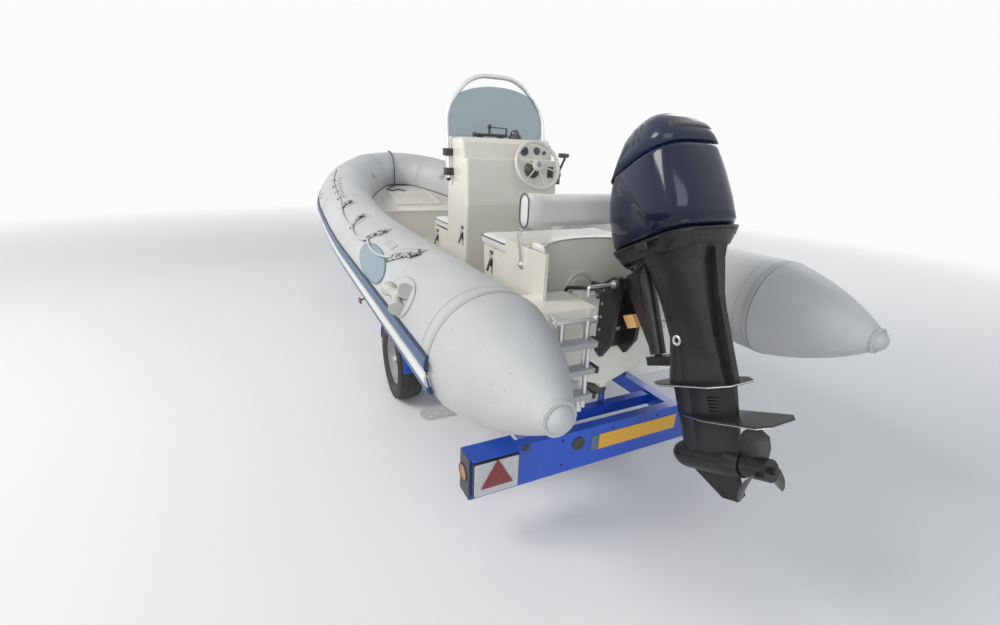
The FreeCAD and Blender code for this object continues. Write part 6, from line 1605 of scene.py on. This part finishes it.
TREAD_BLOCKS, WHEEL_NUTS = 72, 4
# Hub's face, outboard of the wheel's middle.
HUB_OUT = 0.028


class RIB_OT_wheels(bpy.types.Operator):
    """Tread, hub cap and nuts of the road wheels"""
    bl_idname = "rib.wheels"
    bl_label = "Wheels"

    def execute(self, context):
        for side, name in ((1, "port"), (-1, "starboard")):
            low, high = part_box(f"{name}_tyre")
            centre = (low + high) / 2
            wide = high.y - low.y
            reach = (high.z - low.z) / 2
            # Tread: four ribs, each cut into blocks.
            bm = bmesh.new()
            step = math.tau / TREAD_BLOCKS
            for row, (middle, half) in enumerate(((-0.36, 0.10), (-0.12, 0.09), (0.12, 0.09), (0.36, 0.10))):
                y = centre.y + middle * wide
                edge = abs(middle) > 0.3
                for number in range(TREAD_BLOCKS):
                    turn = step * (number + 0.5 * (row % 2))
                    way = Matrix.Translation((centre.x, y, centre.z)) @ Matrix.Rotation(turn, 4, "Y")
                    drop = 0.006 if edge else 0.0
                    block(bm, (-0.0092, -half * wide, reach - 0.010 - drop),
                          (0.0092, half * wide, reach - drop), way)
            new_piece(f"{name}_tread", bm, "tyre rubber", body=f"{name}_wheel", smooth=0)
            # Rings on the sidewall.
            bm = bmesh.new()
            face = high.y if side > 0 else low.y
            for radius in (0.222, 0.246):
                turned(bm, hoop_points((centre.x, face - side * 0.004, centre.z), Y, radius, 0.0035, 6),
                       (centre.x, face - side * 0.004, centre.z), Y, 64)
            new_piece(f"{name}_sidewall_rings", bm, "tyre rubber", body=f"{name}_wheel", smooth=60)
            # Hub cap, wheel nuts and valve.
            out = Y * side
            hub = centre + out * HUB_OUT
            drawn(f"{name}_hub_cap", "cast alloy", washer, hub, out, ((0.0, 0.034), (0.018, 0.033),
                  (0.026, 0.028), (0.030, 0.018), (0.032, 0.0), (0.0, 0.0)), 32, body=f"{name}_wheel",
                  smooth=30)
            bm = bmesh.new()
            for number in range(WHEEL_NUTS):
                turn = math.tau * (number + 0.5) / WHEEL_NUTS
                spot = hub + Vector((math.cos(turn), 0, math.sin(turn))) * 0.062 - out * 0.012
                rod(bm, spot, spot + out * 0.014, 0.0095, segments=6)
            valve = hub + Vector((0.138, 0, 0.064)) - out * 0.014
            rod(bm, valve, valve + out * 0.034, 0.0045, 0.004)
            new_piece(f"{name}_nuts", bm, "galvanised", body=f"{name}_wheel", bevel=0.001)
        return {"FINISHED"}


# Stage


# Half size of the studio floor, and where it fades into the background.
FLOOR_HALF, FADE_START, FADE_END = 60, 4.5, 11.0


class RIB_OT_stage(bpy.types.Operator):
    """Studio floor, soft lamps and the camera"""
    bl_idname = "rib.stage"
    bl_label = "Stage"

    def execute(self, context):
        scene = context.scene
        stage = scene.rib_stage
        floor = bmesh.new()
        bmesh.ops.create_grid(floor, x_segments=1, y_segments=1, size=FLOOR_HALF)
        data = bpy.data.meshes.new("studio_floor")
        floor.to_mesh(data)
        floor.free()
        ground = bpy.data.objects.new("studio_floor", data)
        scene.collection.objects.link(ground)
        paint = bpy.data.materials.new("studio floor")
        paint.use_nodes = True
        tree = paint.node_tree
        shader = tree.nodes["Principled BSDF"]
        spot = tree.nodes.new("ShaderNodeTexCoord").outputs["Object"]
        tone = spread(tree, noise(tree, 0.4, 3, spot), 0.3, 0.8)
        pale = shade(stage.floor, 0.97)
        tree.links.new(mixed(tree, tone, tuple(stage.floor), pale), shader.inputs["Base Color"])
        dial(shader, Roughness=0.75)
        # Far from the boat the floor fades into the white of the background.
        glow = tree.nodes.new("ShaderNodeEmission")
        dial(glow, Color=(1, 1, 1, 1), Strength=0.97)
        reach = tree.nodes.new("ShaderNodeVectorMath")
        reach.operation = "LENGTH"
        tree.links.new(spot, reach.inputs[0])
        blend = tree.nodes.new("ShaderNodeMixShader")
        tree.links.new(spread(tree, reach.outputs["Value"], FADE_START, FADE_END), blend.inputs["Fac"])
        tree.links.new(shader.outputs["BSDF"], blend.inputs[1])
        tree.links.new(glow.outputs["Emission"], blend.inputs[2])
        tree.links.new(blend.outputs["Shader"], tree.nodes["Material Output"].inputs["Surface"])
        data.materials.append(paint)
        scene.world = bpy.data.worlds.new("studio")
        scene.world.use_nodes = True
        sky = scene.world.node_tree
        light = sky.nodes["Background"]
        path = sky.nodes.new("ShaderNodeLightPath")
        seen = maths(sky, "MAXIMUM", path.outputs["Is Camera Ray"], path.outputs["Is Transmission Ray"])
        seen = maths(sky, "MAXIMUM", seen, path.outputs["Is Glossy Ray"])
        sky.links.new(mixed(sky, seen, (0.88, 0.93, 1.0), (1.0, 1.0, 1.0)), light.inputs["Color"])
        level = spread(sky, seen, 0, 1)
        dial(level.node, To_Min=0.38, To_Max=0.97)
        sky.links.new(level, light.inputs["Strength"])
        lamps = (
            # name, place, aim, size, watts, colour
            ("key", at(2.0, 7.5, 6.5), at(0.8, 0, 1.0), 4.0, 560, (1.0, 0.97, 0.92)),
            ("fill", at(-6.0, 3.0, 4.5), at(0.5, 0, 1.0), 5.0, 190, (0.94, 0.97, 1.0)),
            ("rim", at(4.0, -7.0, 5.0), at(0.8, 0, 1.0), 4.0, 130, (0.95, 0.97, 1.0)),
        )
        for name, place, aim, wide, watts, tint in lamps:
            lamp = bpy.data.lights.new(name, "AREA")
            lamp.size, lamp.energy, lamp.color = wide, watts, tint
            holder = bpy.data.objects.new(name, lamp)
            holder.location = place
            holder.rotation_euler = (aim - place).to_track_quat("-Z", "Y").to_euler()
            scene.collection.objects.link(holder)
        camera = bpy.data.cameras.new("camera")
        camera.sensor_width, camera.lens = 36, stage.lens
        camera.clip_start, camera.clip_end = 0.05, 200
        eye = bpy.data.objects.new("camera", camera)
        level_turn = Matrix.Rotation(-stage.yaw, 4, "Z") @ Matrix.Rotation(math.radians(-90), 4, "Z")
        tip = Matrix.Rotation(math.radians(90) - stage.pitch, 4, "X")
        eye.matrix_world = (Matrix.Translation(at(stage.camera_x, stage.camera_y, stage.camera_z))
                            @ level_turn @ tip @ Matrix.Rotation(stage.roll, 4, "Z"))
        scene.collection.objects.link(eye)
        scene.camera = eye
        scene.view_settings.view_transform = "Standard"
        return {"FINISHED"}


SETTINGS = {"rib_tube": TubeSettings, "rib_deck": DeckSettings, "rib_motor": MotorSettings,
            "rib_trailer": TrailerSettings, "rib_stage": StageSettings}
CLASSES = [*SETTINGS.values(), RIB_OT_finishes, RIB_OT_tubes, RIB_OT_strakes, RIB_OT_cushions, RIB_OT_cowl,
           RIB_OT_lines, RIB_OT_patches, RIB_OT_helm, RIB_OT_seats, RIB_OT_deck, RIB_OT_leg,
           RIB_OT_ladder, RIB_OT_lights, RIB_OT_wheels, RIB_OT_stage]
STEPS = [item for item in CLASSES if issubclass(item, bpy.types.Operator)]


class RIB_PT_looks(bpy.types.Panel):
    """Lists the steps that dress the boat"""
    bl_label = "Rib Boat"
    bl_space_type = "VIEW_3D"
    bl_region_type = "UI"
    bl_category = "Rib Boat"

    def draw(self, context):
        for step in STEPS:
            self.layout.operator(step.bl_idname)


def register():
    for item in CLASSES + [RIB_PT_looks]:
        bpy.utils.register_class(item)
    for name, kind in SETTINGS.items():
        setattr(bpy.types.Scene, name, PointerProperty(type=kind))


def unregister():
    for name in SETTINGS:
        delattr(bpy.types.Scene, name)
    for item in reversed(CLASSES + [RIB_PT_looks]):
        bpy.utils.unregister_class(item)


def main():
    register()
    for step in STEPS:
        family, name = step.bl_idname.split(".")
        getattr(getattr(bpy.ops, family), name)()


if __name__ == "__main__":
    main()
